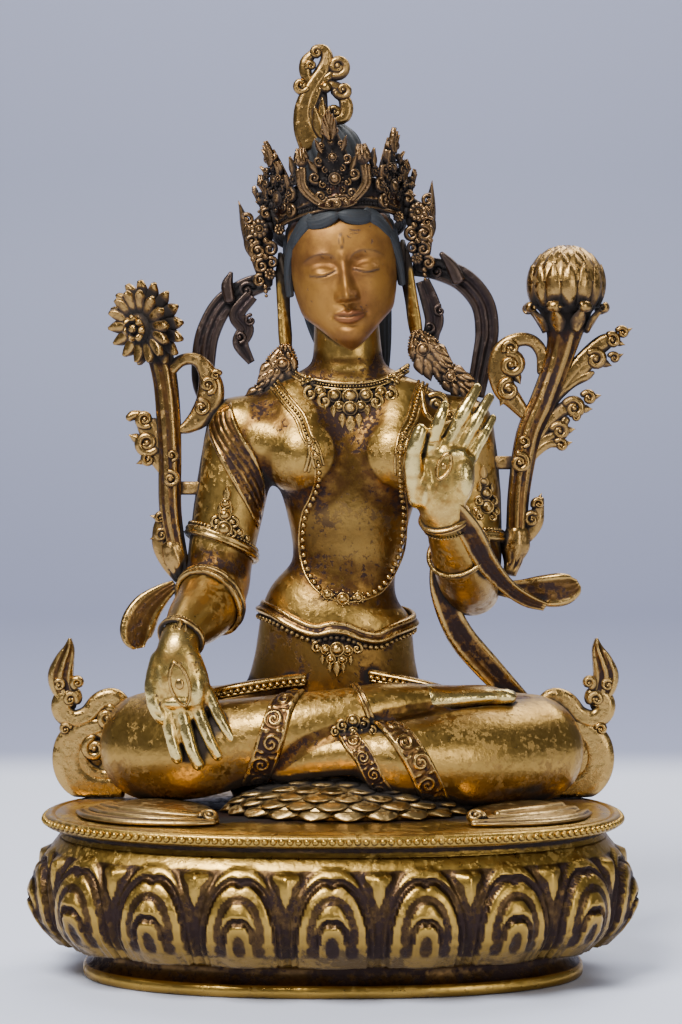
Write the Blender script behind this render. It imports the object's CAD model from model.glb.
import bpy
import numpy as np
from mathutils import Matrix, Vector


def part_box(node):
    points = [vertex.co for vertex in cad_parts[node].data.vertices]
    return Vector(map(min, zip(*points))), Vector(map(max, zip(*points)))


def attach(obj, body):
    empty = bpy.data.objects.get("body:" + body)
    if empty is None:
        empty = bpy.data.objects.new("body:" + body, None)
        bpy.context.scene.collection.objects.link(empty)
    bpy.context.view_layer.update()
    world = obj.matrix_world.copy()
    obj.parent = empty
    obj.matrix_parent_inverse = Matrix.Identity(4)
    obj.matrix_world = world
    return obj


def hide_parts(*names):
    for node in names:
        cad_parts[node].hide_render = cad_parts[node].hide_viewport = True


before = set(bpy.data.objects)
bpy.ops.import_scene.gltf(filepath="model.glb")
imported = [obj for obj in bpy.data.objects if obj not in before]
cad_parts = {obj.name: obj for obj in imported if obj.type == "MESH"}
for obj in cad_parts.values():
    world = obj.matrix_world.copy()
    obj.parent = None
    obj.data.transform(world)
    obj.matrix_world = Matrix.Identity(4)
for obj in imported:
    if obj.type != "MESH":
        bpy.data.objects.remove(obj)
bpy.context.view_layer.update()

# Seated gilt-copper tara on a lotus plinth. Pieces are worked out in millimetres: the plinth's from
# its underside, the figure's over the seat and at the height it was drawn at, then brought to the
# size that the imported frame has.
mm = 0.001
plinthHigh = np.array(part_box("lotus_plinth")[1]) / mm
seatGap = 0.3
seatHeight = plinthHigh[2] + seatGap
drawnFinialTop = 311.8  # the finial's tip over the seat, as drawn
figureScale = (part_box("topknot_finial")[1].z / mm - seatHeight) / drawnFinialTop
pieces = []  # every piece made, for the ageing at the end


# Camera, floor and light

view = {
    "place": (0.0032, -1.0, 0.214),  # metres, from the plinth's underside
    "pitch": 1.696,  # degrees down
    "lens": 87.9,
    "sensor": 36.0,
}
camera = bpy.data.cameras.new("photoCamera")
camera.lens = view["lens"]
camera.sensor_width = camera.sensor_height = view["sensor"]
camera.sensor_fit = "AUTO"
camera.clip_end = 20
cameraObject = bpy.data.objects.new("photoCamera", camera)
cameraObject.location = view["place"]
cameraObject.rotation_euler = (np.radians(90 - view["pitch"]), 0, 0)
bpy.context.scene.collection.objects.link(cameraObject)
bpy.context.scene.camera = cameraObject

studio = {
    "worldColour": (0.80, 0.82, 0.88),
    "worldStrength": 0.15,
    # name: place, aimed at, size (m), watts
    "lights": {
        "topSoftbox": ((-0.45, -0.75, 1.10), (0, 0, 0.16), (0.55, 0.55), 26.0),
        "frontFill": ((0.85, -1.20, 0.45), (0, 0, 0.16), (0.45, 0.7), 5.0),
        "wallWash": ((0, 1.0, 2.4), (0, 2.6, 0.5), (2.4, 0.8), 62.0),
        "backRim": ((0.45, 0.50, 0.95), (0, 0, 0.2), (0.8, 0.3), 5.0),
    },
}


def buildStudio():
    world = bpy.data.worlds.new("studioWorld")
    world.use_nodes = True
    background = world.node_tree.nodes["Background"]
    background.inputs["Color"].default_value = (*studio["worldColour"], 1)
    background.inputs["Strength"].default_value = studio["worldStrength"]
    bpy.context.scene.world = world
    for name, (place, target, size, watts) in studio["lights"].items():
        light = bpy.data.lights.new(name, "AREA")
        light.shape = "RECTANGLE"
        light.size, light.size_y = size
        light.energy = watts
        lamp = bpy.data.objects.new(name, light)
        lamp.location = place
        lamp.rotation_euler = (Vector(target) - Vector(place)).to_track_quat("-Z", "Y").to_euler()
        bpy.context.scene.collection.objects.link(lamp)


# Surfaces worked out as whole arrays

def smoothLine(rows, count, closed=False):
    # Catmull-Rom through the rows: each span blends its two ends and their neighbours with cubic
    # weights, then every column is read again at even steps of length
    rows = np.asarray(rows, float)
    spans = len(rows) if closed else len(rows) - 1
    if closed:
        padded = np.concatenate([rows[-1:], rows, rows[:2]])
    else:
        padded = np.concatenate([2 * rows[:1] - rows[1:2], rows, 2 * rows[-1:] - rows[-2:-1]])
    fine = spans * 24
    t = np.linspace(0, spans, fine + 1)
    i = np.minimum(t.astype(int), spans - 1)
    f = (t - i)[:, None]
    a, b, c, d = padded[i], padded[i + 1], padded[i + 2], padded[i + 3]
    curve = b + 0.5 * f * (c - a + f * (2 * a - 5 * b + 4 * c - d + f * (3 * (b - c) + d - a)))
    run = runOf(curve[:, :3])
    even = np.linspace(0, run[-1], count, endpoint=not closed)
    return np.stack([np.interp(even, run, column) for column in curve.T], 1)


def runOf(points):
    # the length walked up to each point
    return np.concatenate([[0], np.cumsum(np.linalg.norm(np.diff(points, axis=0), axis=1))])


def lineLength(line):
    return np.linalg.norm(np.diff(line[:, :3], axis=0), axis=1).sum()


def unit(vectors):
    return vectors / np.maximum(np.linalg.norm(vectors, axis=-1, keepdims=True), 1e-9)


def tangents(points, closed=False):
    return unit(np.roll(points, -1, 0) - np.roll(points, 1, 0) if closed else np.gradient(points, axis=0))


def lineFrame(line, side, closed=False):
    # tangent, the side direction made square to it, and their cross product
    at = line[:, :3]
    along = tangents(at, closed)
    side = np.broadcast_to(np.asarray(side, float), at.shape)
    across = unit(side - (side * along).sum(1, keepdims=True) * along)
    return along, across, np.cross(along, across)


def tubeFaces(rings, around, closed=False):
    i = np.arange(rings if closed else rings - 1)[:, None]
    j = np.arange(around)[None]
    k = (j + 1) % around
    low, high = i * around, ((i + 1) % rings) * around
    return np.stack([low + j, low + k, high + k, high + j], -1).reshape(-1, 4)


def capFaces(first, pole, around, flip):
    j = np.arange(around)
    k = (j + 1) % around
    pair = (k, j) if flip else (j, k)
    return np.stack([np.full(around, pole), first + pair[0], first + pair[1]], 1)


def capped(rings, poles=None):
    # rings of points joined up, and closed at both ends over a pole, by default the end ring's middle
    n, around = rings.shape[:2]
    poles = rings[[0, -1]].mean(1) if poles is None else poles
    verts = np.concatenate([rings.reshape(-1, 3), poles])
    caps = [capFaces(0, n * around, around, True), capFaces((n - 1) * around, n * around + 1, around, False)]
    return verts, [tubeFaces(n, around), *caps]


def repeated(every, faces):
    # the same faces over many copies of a part's points
    shift = (np.arange(len(every)) * every.shape[1])[:, None, None]
    return every.reshape(-1, 3), [(f + shift).reshape(-1, f.shape[1]) for f in faces]


def sweep(rows, side=(1, 0, 0), around=20, count=24, cap=0.8, power=2.0, relief=None, closed=False):
    # ovals carried along a smooth line: row = x, y, z, half size along side, half size across it and
    # perhaps the side itself, with rounded ends, and relief(share of the length, turn) added to both
    line = smoothLine(rows, count, closed)
    along, across, up = lineFrame(line, line[:, 5:8] if line.shape[1] > 7 else side, closed)
    turn = np.arange(around) / around * 2 * np.pi
    c, s = np.cos(turn), np.sin(turn)
    c, s = [np.sign(v) * np.abs(v) ** (2 / power) for v in (c, s)]
    wide, deep = line[:, 3:4], line[:, 4:5]
    rise = 0 if relief is None else relief(np.linspace(0, 1, count)[:, None], turn[None])
    ring = across[:, None] * ((wide + rise) * c)[..., None] + up[:, None] * ((deep + rise) * s)[..., None]
    if closed:
        verts = (line[:, None, :3] + ring).reshape(-1, 3)
        return verts, [tubeFaces(count, around, True)]
    steps = 4
    phi = np.arange(1, steps) / steps * np.pi / 2
    index = np.concatenate([np.zeros(steps - 1, int), np.arange(count), np.full(steps - 1, count - 1)])
    shrink = np.concatenate([np.cos(phi[::-1]), np.ones(count), np.cos(phi)])[:, None, None]
    reach = cap * np.minimum(line[[0, -1], 3], line[[0, -1], 4])
    shift = np.concatenate([-np.sin(phi[::-1]) * reach[0], np.zeros(count), np.sin(phi) * reach[1]])
    centre = line[index, :3] + along[index] * shift[:, None]
    rings = centre[:, None] + ring[index] * shrink
    return capped(rings, [line[0, :3] - along[0] * reach[0], line[-1, :3] + along[-1] * reach[1]])


def strap(rows, count=60, columns=12, side=(0, 0, 1), pattern=None, bend=0.0, closed=False):
    # a flat strip: row = x, y, z, half width, thickness and perhaps the side that the width lies on.
    # Its outer face rises by the thickness, rounded off at the edges, and by pattern(run, across) in
    # mm, and the whole drops by bend times the square of the share across
    line = smoothLine(rows, count, closed)
    _, across, up = lineFrame(line, line[:, 5:8] if line.shape[1] > 7 else side, closed)
    share = np.linspace(-1, 1, columns + 1)
    run = runOf(line[:, :3])
    wide, thick = line[:, 3:4], line[:, 4:5]
    edge = (1 - np.abs(share) ** 6) ** 0.5
    top = thick * edge + (0 if pattern is None else pattern(run[:, None], share * wide) * edge)
    under = -thick * 0.3 * edge[1:-1] + 0 * wide
    flat = (share * wide, (share * wide)[:, 1:-1])
    sides = [
        line[:, None, :3] + across[:, None] * w[..., None] + up[:, None] * (h - bend * f**2)[..., None]
        for w, h, f in zip(flat, (top, under), (share, share[1:-1]))
    ]
    rings = np.concatenate([sides[0], sides[1][:, ::-1]], 1)
    if closed:
        return rings.reshape(-1, 3), [tubeFaces(count, rings.shape[1], True)]
    return capped(rings)


def ball(centre, radii, around=16, down=10):
    # an ellipsoid: x = cos(turn) cos(rise), y = sin(turn) cos(rise), z = sin(rise), each times its radius
    rise = (np.arange(1, down) / down - 0.5) * np.pi
    turn = np.arange(around) / around * 2 * np.pi
    flat = np.cos(rise)[:, None]
    x, y, z = np.cos(turn) * flat, np.sin(turn) * flat, np.sin(rise)[:, None]
    verts, faces = capped(np.stack([x, y, z + 0 * x], -1), [[0, 0, -1], [0, 0, 1]])
    return verts * radii + np.asarray(centre, float), faces


def beads(centres, radius, around=7, down=4):
    # one small ball copied to every centre
    centres = np.asarray(centres, float)
    verts, faces = ball((0, 0, 0), (1, 1, 1), around, down)
    radii = np.broadcast_to(np.asarray(radius, float), len(centres))[:, None, None]
    return repeated(centres[:, None] + verts * radii, faces)


def beadString(rows, radius, spacing=2.1, closed=False):
    length = lineLength(smoothLine(rows, 200, closed))
    count = max(2, int(round(length / (radius * spacing))))
    return beads(smoothLine(rows, count, closed)[:, :3], radius)


def merged(parts):
    verts, quads, tris, start = [], [], [], 0
    for points, faces in parts:
        for f in faces:
            (quads if f.shape[1] == 4 else tris).append(f + start)
        verts.append(points)
        start += len(points)
    return np.concatenate(verts), [np.concatenate(f) for f in (quads, tris) if f]


def outward(part):
    # turns the faces over where the volume that they hold comes out negative
    verts, faces = part
    volume = 0.0
    for f in faces:
        fans = [(0, 1, 2)] + ([(0, 2, 3)] if f.shape[1] == 4 else [])
        for a, b, c in fans:
            volume += (verts[f[:, a]] * np.cross(verts[f[:, b]], verts[f[:, c]])).sum()
    return part if volume > 0 else (verts, [f[:, ::-1] for f in faces])


def meshOf(name, part):
    verts, faces = part
    mesh = bpy.data.meshes.new(name)
    mesh.vertices.add(len(verts))
    mesh.vertices.foreach_set("co", np.ascontiguousarray(verts, np.float32).ravel())
    loops = np.concatenate([f.ravel() for f in faces]).astype(np.int32)
    sizes = np.concatenate([np.full(len(f), f.shape[1]) for f in faces])
    mesh.loops.add(len(loops))
    mesh.loops.foreach_set("vertex_index", loops)
    mesh.polygons.add(len(sizes))
    mesh.polygons.foreach_set("loop_start", np.concatenate([[0], np.cumsum(sizes)[:-1]]).astype(np.int32))
    mesh.update(calc_edges=True)
    mesh.shade_smooth()
    return mesh


def readMesh(mesh):
    verts = np.zeros(len(mesh.vertices) * 3)
    mesh.vertices.foreach_get("co", verts)
    edges = np.zeros(len(mesh.edges) * 2, int)
    mesh.edges.foreach_get("vertices", edges)
    normals = np.zeros(len(mesh.vertices) * 3)
    mesh.vertices.foreach_get("normal", normals)
    return verts.reshape(-1, 3), edges.reshape(-1, 2), normals.reshape(-1, 3)


def averaged(values, edges, passes=1):
    # each vertex moves towards the mean of its neighbours
    values = np.array(values, float)
    count = len(values)
    degree = np.maximum(np.bincount(edges.ravel(), minlength=count), 1)
    for _ in range(passes):
        total = np.stack([
            np.bincount(edges[:, 0], column[edges[:, 1]], count)
            + np.bincount(edges[:, 1], column[edges[:, 0]], count)
            for column in values.reshape(count, -1).T
        ], 1).reshape(values.shape)
        mean = total / (degree[:, None] if values.ndim > 1 else degree)
        values += mean - values
    return values


def setAttribute(mesh, name, values):
    attribute = mesh.attributes.new(name, "FLOAT", "POINT")
    attribute.data.foreach_set("value", np.ascontiguousarray(values, np.float32))


def onPlinth(points):
    return points * mm


def onFigure(points):
    return (points * figureScale + [0, 0, seatHeight]) * mm


def addPiece(name, parts, material, slot, node, place=onFigure):
    verts, faces = merged([outward(part) for part in parts])
    addMesh(name, meshOf(name, (place(verts), faces)), material, node)


def addMesh(name, mesh, material, node):
    mesh.materials.append(material)
    piece = bpy.data.objects.new(name, mesh)
    bpy.context.scene.collection.objects.link(piece)
    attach(piece, "root")
    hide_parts(node)
    pieces.append(piece)
    print("made", name, len(mesh.polygons))


def remeshed(name, parts, voxel):
    # one skin round all the overlapping parts, as vertices and square faces
    verts, faces = merged([outward(part) for part in parts])
    rough = bpy.data.objects.new(name, meshOf(name, (verts, faces)))
    bpy.context.scene.collection.objects.link(rough)
    modifier = rough.modifiers.new("skin", "REMESH")
    modifier.mode = "VOXEL"
    modifier.voxel_size = voxel
    evaluated = rough.evaluated_get(bpy.context.evaluated_depsgraph_get())
    mesh = bpy.data.meshes.new_from_object(evaluated)
    bpy.data.objects.remove(rough)
    points, edges, _ = readMesh(mesh)
    sizes = np.zeros(len(mesh.polygons), int)
    mesh.polygons.foreach_get("loop_total", sizes)
    loops = np.zeros(len(mesh.loops), int)
    mesh.loops.foreach_get("vertex_index", loops)
    starts = np.concatenate([[0], np.cumsum(sizes)[:-1]])
    faces = []
    for size in (4, 3):
        first = starts[sizes == size]
        if len(first):
            faces.append(loops[first[:, None] + np.arange(size)])
    bpy.data.meshes.remove(mesh)
    return points, faces, edges


# Materials

class Value:
    # a socket that Python's operators work on, each adding its Math node
    def __init__(self, shader, socket):
        self.shader, self.socket = shader, socket

    def math(self, operation, *others):
        return self.shader.node("ShaderNodeMath", {"operation": operation}, dict(enumerate((self, *others))))

    def __add__(self, other):
        return self.math("ADD", other)

    def __sub__(self, other):
        return self.math("SUBTRACT", other)

    def __rsub__(self, other):
        return self.shader.number(other) - self

    def __mul__(self, other):
        return self.math("MULTIPLY", other)

    __radd__, __rmul__ = __add__, __mul__

    def clamp(self, low=0.0, high=1.0):
        return self.math("MAXIMUM", low).math("MINIMUM", high)

    def between(self, low, high):
        # 0 under low, 1 over high, eased in between
        return self.shader.node(
            "ShaderNodeMapRange", {"interpolation_type": "SMOOTHSTEP"}, {0: self, 1: low, 2: high}
        )


class Shader:
    def __init__(self, name):
        self.material = bpy.data.materials.new(name)
        self.material.use_nodes = True
        self.tree = self.material.node_tree
        self.surface = self.tree.nodes["Principled BSDF"]
        self.coordinates = self.node("ShaderNodeTexCoord", {}, {}, "Object")

    def node(self, kind, settings, inputs, output=0):
        node = self.tree.nodes.new(kind)
        for key, setting in settings.items():
            setattr(node, key, setting)
        self.feed(node, inputs)
        return Value(self, node.outputs[output])

    def feed(self, node, inputs):
        for key, given in inputs.items():
            if isinstance(given, Value):
                self.tree.links.new(given.socket, node.inputs[key])
            else:
                node.inputs[key].default_value = given

    def number(self, value):
        return self.node("ShaderNodeMath", {"operation": "ADD"}, {0: value, 1: 0.0})

    def attribute(self, name):
        return self.node("ShaderNodeAttribute", {"attribute_name": name}, {}, "Fac")

    def noise(self, scale, detail=4.0, roughness=0.55, distortion=0.0):
        return self.node(
            "ShaderNodeTexNoise", {},
            {"Vector": self.coordinates, "Scale": scale, "Detail": detail, "Roughness": roughness,
             "Distortion": distortion},
        )

    def mix(self, share, first, second):
        paint = [(*c, 1) if isinstance(c, tuple) else c for c in (first, second)]
        return self.node(
            "ShaderNodeMix", {"data_type": "RGBA", "blend_type": "MIX"},
            {0: share, 6: paint[0], 7: paint[1]}, 2,
        )

    def bump(self, height, distance, strength=1.0):
        return self.node(
            "ShaderNodeBump", {}, {"Height": height, "Distance": distance, "Strength": strength}
        )

    def finish(self, inputs):
        self.feed(self.surface, inputs)
        return self.material


def rgb(red, green, blue):
    # a colour given in the eight-bit numbers of a picture, as linear light
    shares = np.array([red, green, blue]) / 255
    linear = np.where(shares <= 0.04045, shares / 12.92, ((shares + 0.055) / 1.055) ** 2.4)
    return tuple(float(v) for v in linear)


def giltMetal(name, look):
    # gold over copper: brown oxide where the surface lies in a hollow, in clouded patches and in specks,
    # bright rubbed gold on what stands proud
    s = Shader(name)
    hollow = s.attribute("hollow")
    proud = s.attribute("proud")
    cloud = s.noise(look["patchScale"], 7.0, 0.62, 0.5)
    fine = s.noise(look["patchScale"] * 7, 5.0, 0.65)
    under = s.attribute("under")
    speck = s.noise(look["speckScale"], 3.0, 0.7)
    stain = cloud * 0.6 + fine * 0.4 + hollow * look["hollowGain"] + under * 0.2 - proud * 0.2
    brown = stain.between(look["brownFrom"], look["brownTo"])
    grime = hollow * 0.8 + under * 0.16 + fine * 0.3 + cloud * 0.15
    dark = grime.between(look["darkFrom"], look["darkTo"])
    rub = (proud + fine * 0.3).between(look["rubFrom"], look["rubFrom"] + 0.55)
    spots = (speck * 0.6 + cloud * 0.5 + brown * 0.1).between(look["speckFrom"], look["speckFrom"] + 0.05)
    tone = (fine * 0.6 + s.noise(look["patchScale"] * 0.45, 3.0, 0.5) * 0.4).between(0.38, 0.62)
    colour = s.mix(tone, look["gold"], look["deepGold"])
    colour = s.mix(rub * look["rubShare"], colour, look["brightGold"])
    colour = s.mix((brown + under * look["underShare"]).clamp() * look["brownShare"], colour, look["brown"])
    colour = s.mix((spots * look["speckShare"] * (1.1 - rub)).clamp(), colour, look["speck"])
    colour = s.mix(dark * look["darkShare"], colour, look["dark"])
    rough = look["roughness"] + brown * 0.16 + dark * 0.25 + spots * 0.2 + (fine - 0.5) * 0.35 - rub * 0.08
    metal = 1 - (dark * 0.5 + spots * 0.3 + brown * 0.15).clamp()
    skin = s.noise(look["patchScale"] * 9, 3.0, 0.5) * 0.6 + s.noise(look["speckScale"], 2.0, 0.5) * 0.4
    return s.finish({
        "Base Color": colour,
        "Roughness": rough.clamp(0.14, 0.9),
        "Metallic": metal.clamp(),
        "Normal": s.bump(skin - brown * 0.25 - spots * 0.2, look["bumpDepth"], 0.6),
    })


figureGold = {
    "gold": rgb(119, 87, 41),
    "deepGold": rgb(78, 53, 26),
    "brightGold": rgb(186, 148, 76),
    "underShare": 0.34,
    "brown": rgb(80, 48, 26),
    "speck": rgb(44, 26, 22),
    "dark": rgb(18, 11, 8),
    "patchScale": 42.0,
    "speckScale": 420.0,
    "speckFrom": 0.59,
    "speckShare": 0.85,
    "hollowGain": 0.36,
    "brownFrom": 0.42,
    "brownTo": 0.76,
    "brownShare": 0.85,
    "darkFrom": 0.46,
    "darkTo": 0.84,
    "darkShare": 0.92,
    "rubFrom": 0.42,
    "rubShare": 0.78,
    "roughness": 0.40,
    "bumpDepth": 0.0005,
}
handGold = {
    **figureGold,
    "gold": rgb(214, 178, 98),
    "deepGold": rgb(164, 122, 60),
    "brightGold": rgb(232, 206, 132),
    "underShare": 0.2,
    "brownFrom": 0.56,
    "brownTo": 0.84,
    "speckFrom": 0.64,
    "roughness": 0.3,
}
castGold = {
    **figureGold,
    "gold": rgb(126, 92, 50),
    "deepGold": rgb(84, 58, 34),
    "brightGold": rgb(198, 160, 92),
    "brown": rgb(58, 38, 27),
    "hollowGain": 0.4,
    "brownFrom": 0.44,
    "brownTo": 0.66,
    "rubFrom": 0.52,
    "rubShare": 0.8,
    "roughness": 0.34,
}
plinthGold = {
    **figureGold,
    "gold": rgb(100, 76, 46),
    "deepGold": rgb(66, 49, 33),
    "brightGold": rgb(200, 160, 76),
    "underShare": 0.85,
    "brown": rgb(54, 39, 29),
    "hollowGain": 0.42,
    "brownFrom": 0.44,
    "brownTo": 0.64,
    "rubFrom": 0.62,
    "rubShare": 0.85,
    "roughness": 0.4,
}
clothGold = {
    **plinthGold,
    "gold": rgb(122, 98, 66),
    "deepGold": rgb(86, 67, 47),
    "brightGold": rgb(196, 162, 102),
    "roughness": 0.42,
}
crownCopper = {
    **figureGold,
    "gold": rgb(84, 58, 44),
    "deepGold": rgb(58, 37, 29),
    "brightGold": rgb(188, 150, 98),
    "brown": rgb(42, 26, 21),
    "speck": rgb(24, 16, 14),
    "speckShare": 0.5,
    "hollowGain": 0.4,
    "brownFrom": 0.42,
    "brownTo": 0.62,
    "rubFrom": 0.80,
    "rubShare": 0.55,
    "roughness": 0.34,
}
ribbonCopper = {
    **crownCopper,
    "gold": rgb(72, 60, 56),
    "deepGold": rgb(50, 42, 44),
    "brightGold": rgb(120, 100, 84),
    "brown": rgb(40, 31, 31),
    "rubShare": 0.4,
    "roughness": 0.42,
}
stemCopper = {
    **figureGold,
    "gold": rgb(118, 84, 46),
    "deepGold": rgb(78, 52, 32),
    "brightGold": rgb(184, 146, 84),
    "brown": rgb(54, 34, 26),
    "hollowGain": 0.5,
    "brownFrom": 0.42,
    "brownTo": 0.60,
    "rubFrom": 0.6,
    "roughness": 0.36,
}
pendantCopper = {
    **crownCopper,
    "gold": rgb(112, 76, 54),
    "brightGold": rgb(206, 164, 108),
    "rubFrom": 0.6,
}
metals = {
    "figure": giltMetal("figureGilt", figureGold),
    "plinth": giltMetal("plinthGilt", plinthGold),
    "crown": giltMetal("crownCopper", crownCopper),
    "ribbon": giltMetal("ribbonCopper", ribbonCopper),
    "stem": giltMetal("stemCopper", stemCopper),
    "pendant": giltMetal("pendantCopper", pendantCopper),
    "hand": giltMetal("handGold", handGold),
    "cast": giltMetal("castGold", castGold),
    "cloth": giltMetal("clothGold", clothGold),
}


backdrop = {
    "floorNear": rgb(230, 236, 255),
    "floorFar": rgb(236, 240, 255),
    "wallLow": rgb(158, 163, 190),
    "wallHigh": rgb(178, 183, 208),
    "wallDistance": 2.60,
    "bend": 0.60,
    "halfWidth": 3.0,
    "height": 3.0,
    "front": -3.0,
    "boundary": (0.56, 0.72),  # how far back the floor's colour goes over into the wall's
}


def paperMaterial():
    # floor colour going over into wall colour with the distance back and the height
    b = backdrop
    s = Shader("paper")
    place = lambda output: s.node("ShaderNodeSeparateXYZ", {}, {0: s.coordinates}, output)
    back, height = place("Y"), place("Z")
    floor = s.mix(back.between(-0.3, 0.5), b["floorNear"], b["floorFar"])
    wall = s.mix((height + 0.05 * s.noise(2.0)).between(0.0, 0.55), b["wallLow"], b["wallHigh"])
    share = (back + height).between(*b["boundary"])
    return s.finish({"Base Color": s.mix(share, floor, wall), "Roughness": 0.8})


def buildBackdrop():
    # a floor and a wall joined by a quarter bend, as one sheet of paper
    b = backdrop
    turn = np.linspace(0, np.pi / 2, 13)
    bendY = b["wallDistance"] - b["bend"] + b["bend"] * np.sin(turn)
    bendZ = b["bend"] - b["bend"] * np.cos(turn)
    profile = np.array([(b["front"], 0.0), *zip(bendY, bendZ), (b["wallDistance"], b["height"])])
    sides = [np.column_stack([np.full(len(profile), x), profile]) for x in (-b["halfWidth"], b["halfWidth"])]
    n = len(profile)
    i = np.arange(n - 1)
    mesh = meshOf("paperSheet", (np.concatenate(sides), [np.stack([i, i + n, i + n + 1, i + 1], 1)]))
    mesh.materials.append(paperMaterial())
    sheet = bpy.data.objects.new("paperSheet", mesh)
    bpy.context.scene.collection.objects.link(sheet)


# Plinth

plinth = {
    "petals": 18,
    "planPower": 2.3,
    "petalHalf": 120.4,
    "columns": 38,  # of the mesh, to each petal
    "petalRows": 52,
    "plateHalf": 115.0,
    "plateEdge": 5.0,
    "neck": 4.0,
    "petalFoot": 14.0,
    "footHalf": 100.0,
    "waistHalf": 95.5,
    "drawnHeight": 65.0,
    "drawnPetals": 42.0,  # the height that petalRelief is drawn over
    "plainColumns": 312,
    "beadLine": 2000,  # points of the line that the plate's beads are strung on
    "beadRadius": 1.45,
    "beadPitch": 3.15,
}


def planLine(halfWidth, halfDepth, count):
    # the oval plan at even steps of length, the first point at the middle of the front, with the
    # direction out of it
    power = plinth["planPower"]
    turn = np.linspace(-np.pi / 2, 1.5 * np.pi, 2881)
    c, s = np.cos(turn), np.sin(turn)
    plan = np.stack([
        halfWidth * np.sign(c) * np.abs(c) ** (2 / power),
        halfDepth * np.sign(s) * np.abs(s) ** (2 / power),
    ], 1)
    run = runOf(plan)
    even = np.arange(count) / count * run[-1]
    at = np.stack([np.interp(even, run, column) for column in plan.T], 1)
    along = tangents(at, True)
    return at, np.stack([along[:, 1], -along[:, 0]], 1)


def petalRelief(across, up):
    # how far out the petals stand, in mm, from the share across half a petal (-1 to 1) and the
    # height over their foot: pillows set one in the other, each with a groove under its lip
    q = np.abs(across)
    notch = np.exp(-((q / 0.09) ** 1.4))

    springing = 6.0  # height that the arches start to close in from

    def arch(halfWidth, top, dip=0.0):
        # below 1 inside the arch, 1 on it
        rise = np.maximum(up + dip * notch - springing, 0) / (top - springing)
        return ((q / halfWidth) ** 2.3 + rise ** 2.3) ** (1 / 2.3)

    def pillow(value, power=5.0):
        return np.clip(1 - np.minimum(value, 1.0) ** power, 0, 1) ** 0.5

    def step(value, at, soft):
        return 1 / (1 + np.exp((value - at) / soft))

    petal = arch(0.95, 38.6)
    lip = arch(0.80, 34.2, dip=1.6)
    knob = arch(0.43, 27.0)
    mouth = arch(0.34, 20.4, dip=1.4)
    heights = [0, 3, 6, 10, 15, 21, 28, 34, 38, 42]
    belly = np.interp(up, heights, [-15, -12, -9, -6.4, -4.9, -4.2, -4.8, -6.4, -8, -11])
    out = belly + 2.6 * pillow(petal, 8)
    out -= 2.0 * np.exp(-(((lip - 1.0) / 0.035) ** 2)) * (petal < 1)
    # the broad inner arch is one smooth swelling
    out += step(lip, 0.985, 0.012) * (0.9 + 1.8 * pillow(lip, 2.2) * (0.3 + 0.7 * up / 36))
    out += 2.7 * pillow(knob, 2.6) * (0.45 + 0.55 * ramp(up, 4, 22))
    out -= 2.1 * np.exp(-(((mouth - 1.0) / 0.075) ** 2)) * ramp(up, 3, 9)
    inMouth = step(mouth, 0.95, 0.02)
    out -= 1.3 * inMouth * np.exp(-((q / 0.17) ** 2) - ((up - 9.6) / 4.2) ** 2)
    out += 0.5 * inMouth * pillow(mouth, 3)
    ribs = np.sin((q - 0.52) * 2 * np.pi / 0.16) * np.exp(-((up / 17) ** 2)) * ramp(q, 0.44, 0.56)
    out += 0.45 * ribs
    # the wedges of the petals behind: a flat lip over a fold that narrows downwards
    back = np.abs(1 - q) / 0.38
    behind = np.clip(1 - back, 0, 1)
    outside = 1 - pillow(petal, 14)
    wedge = np.clip(1 - back / np.clip((up - 4) / 32, 0.05, 1), 0, 1)
    out += outside * (
        3.0 * ramp(up, 20, 35) * (1 - ramp(up, 35.2, 37.6)) * behind ** 0.7
        + 0.9 * wedge * ramp(up, 8, 22) * (1 - ramp(up, 35.2, 37.6))
    )
    return out


def ringed(at, out, inset, height):
    # rings of points at each inset from the petals' line and each height
    ring = at[None] - out[None] * inset[..., None]
    return np.concatenate([ring, np.broadcast_to(height[:, None, None], inset.shape + (1,))], -1)


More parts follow.
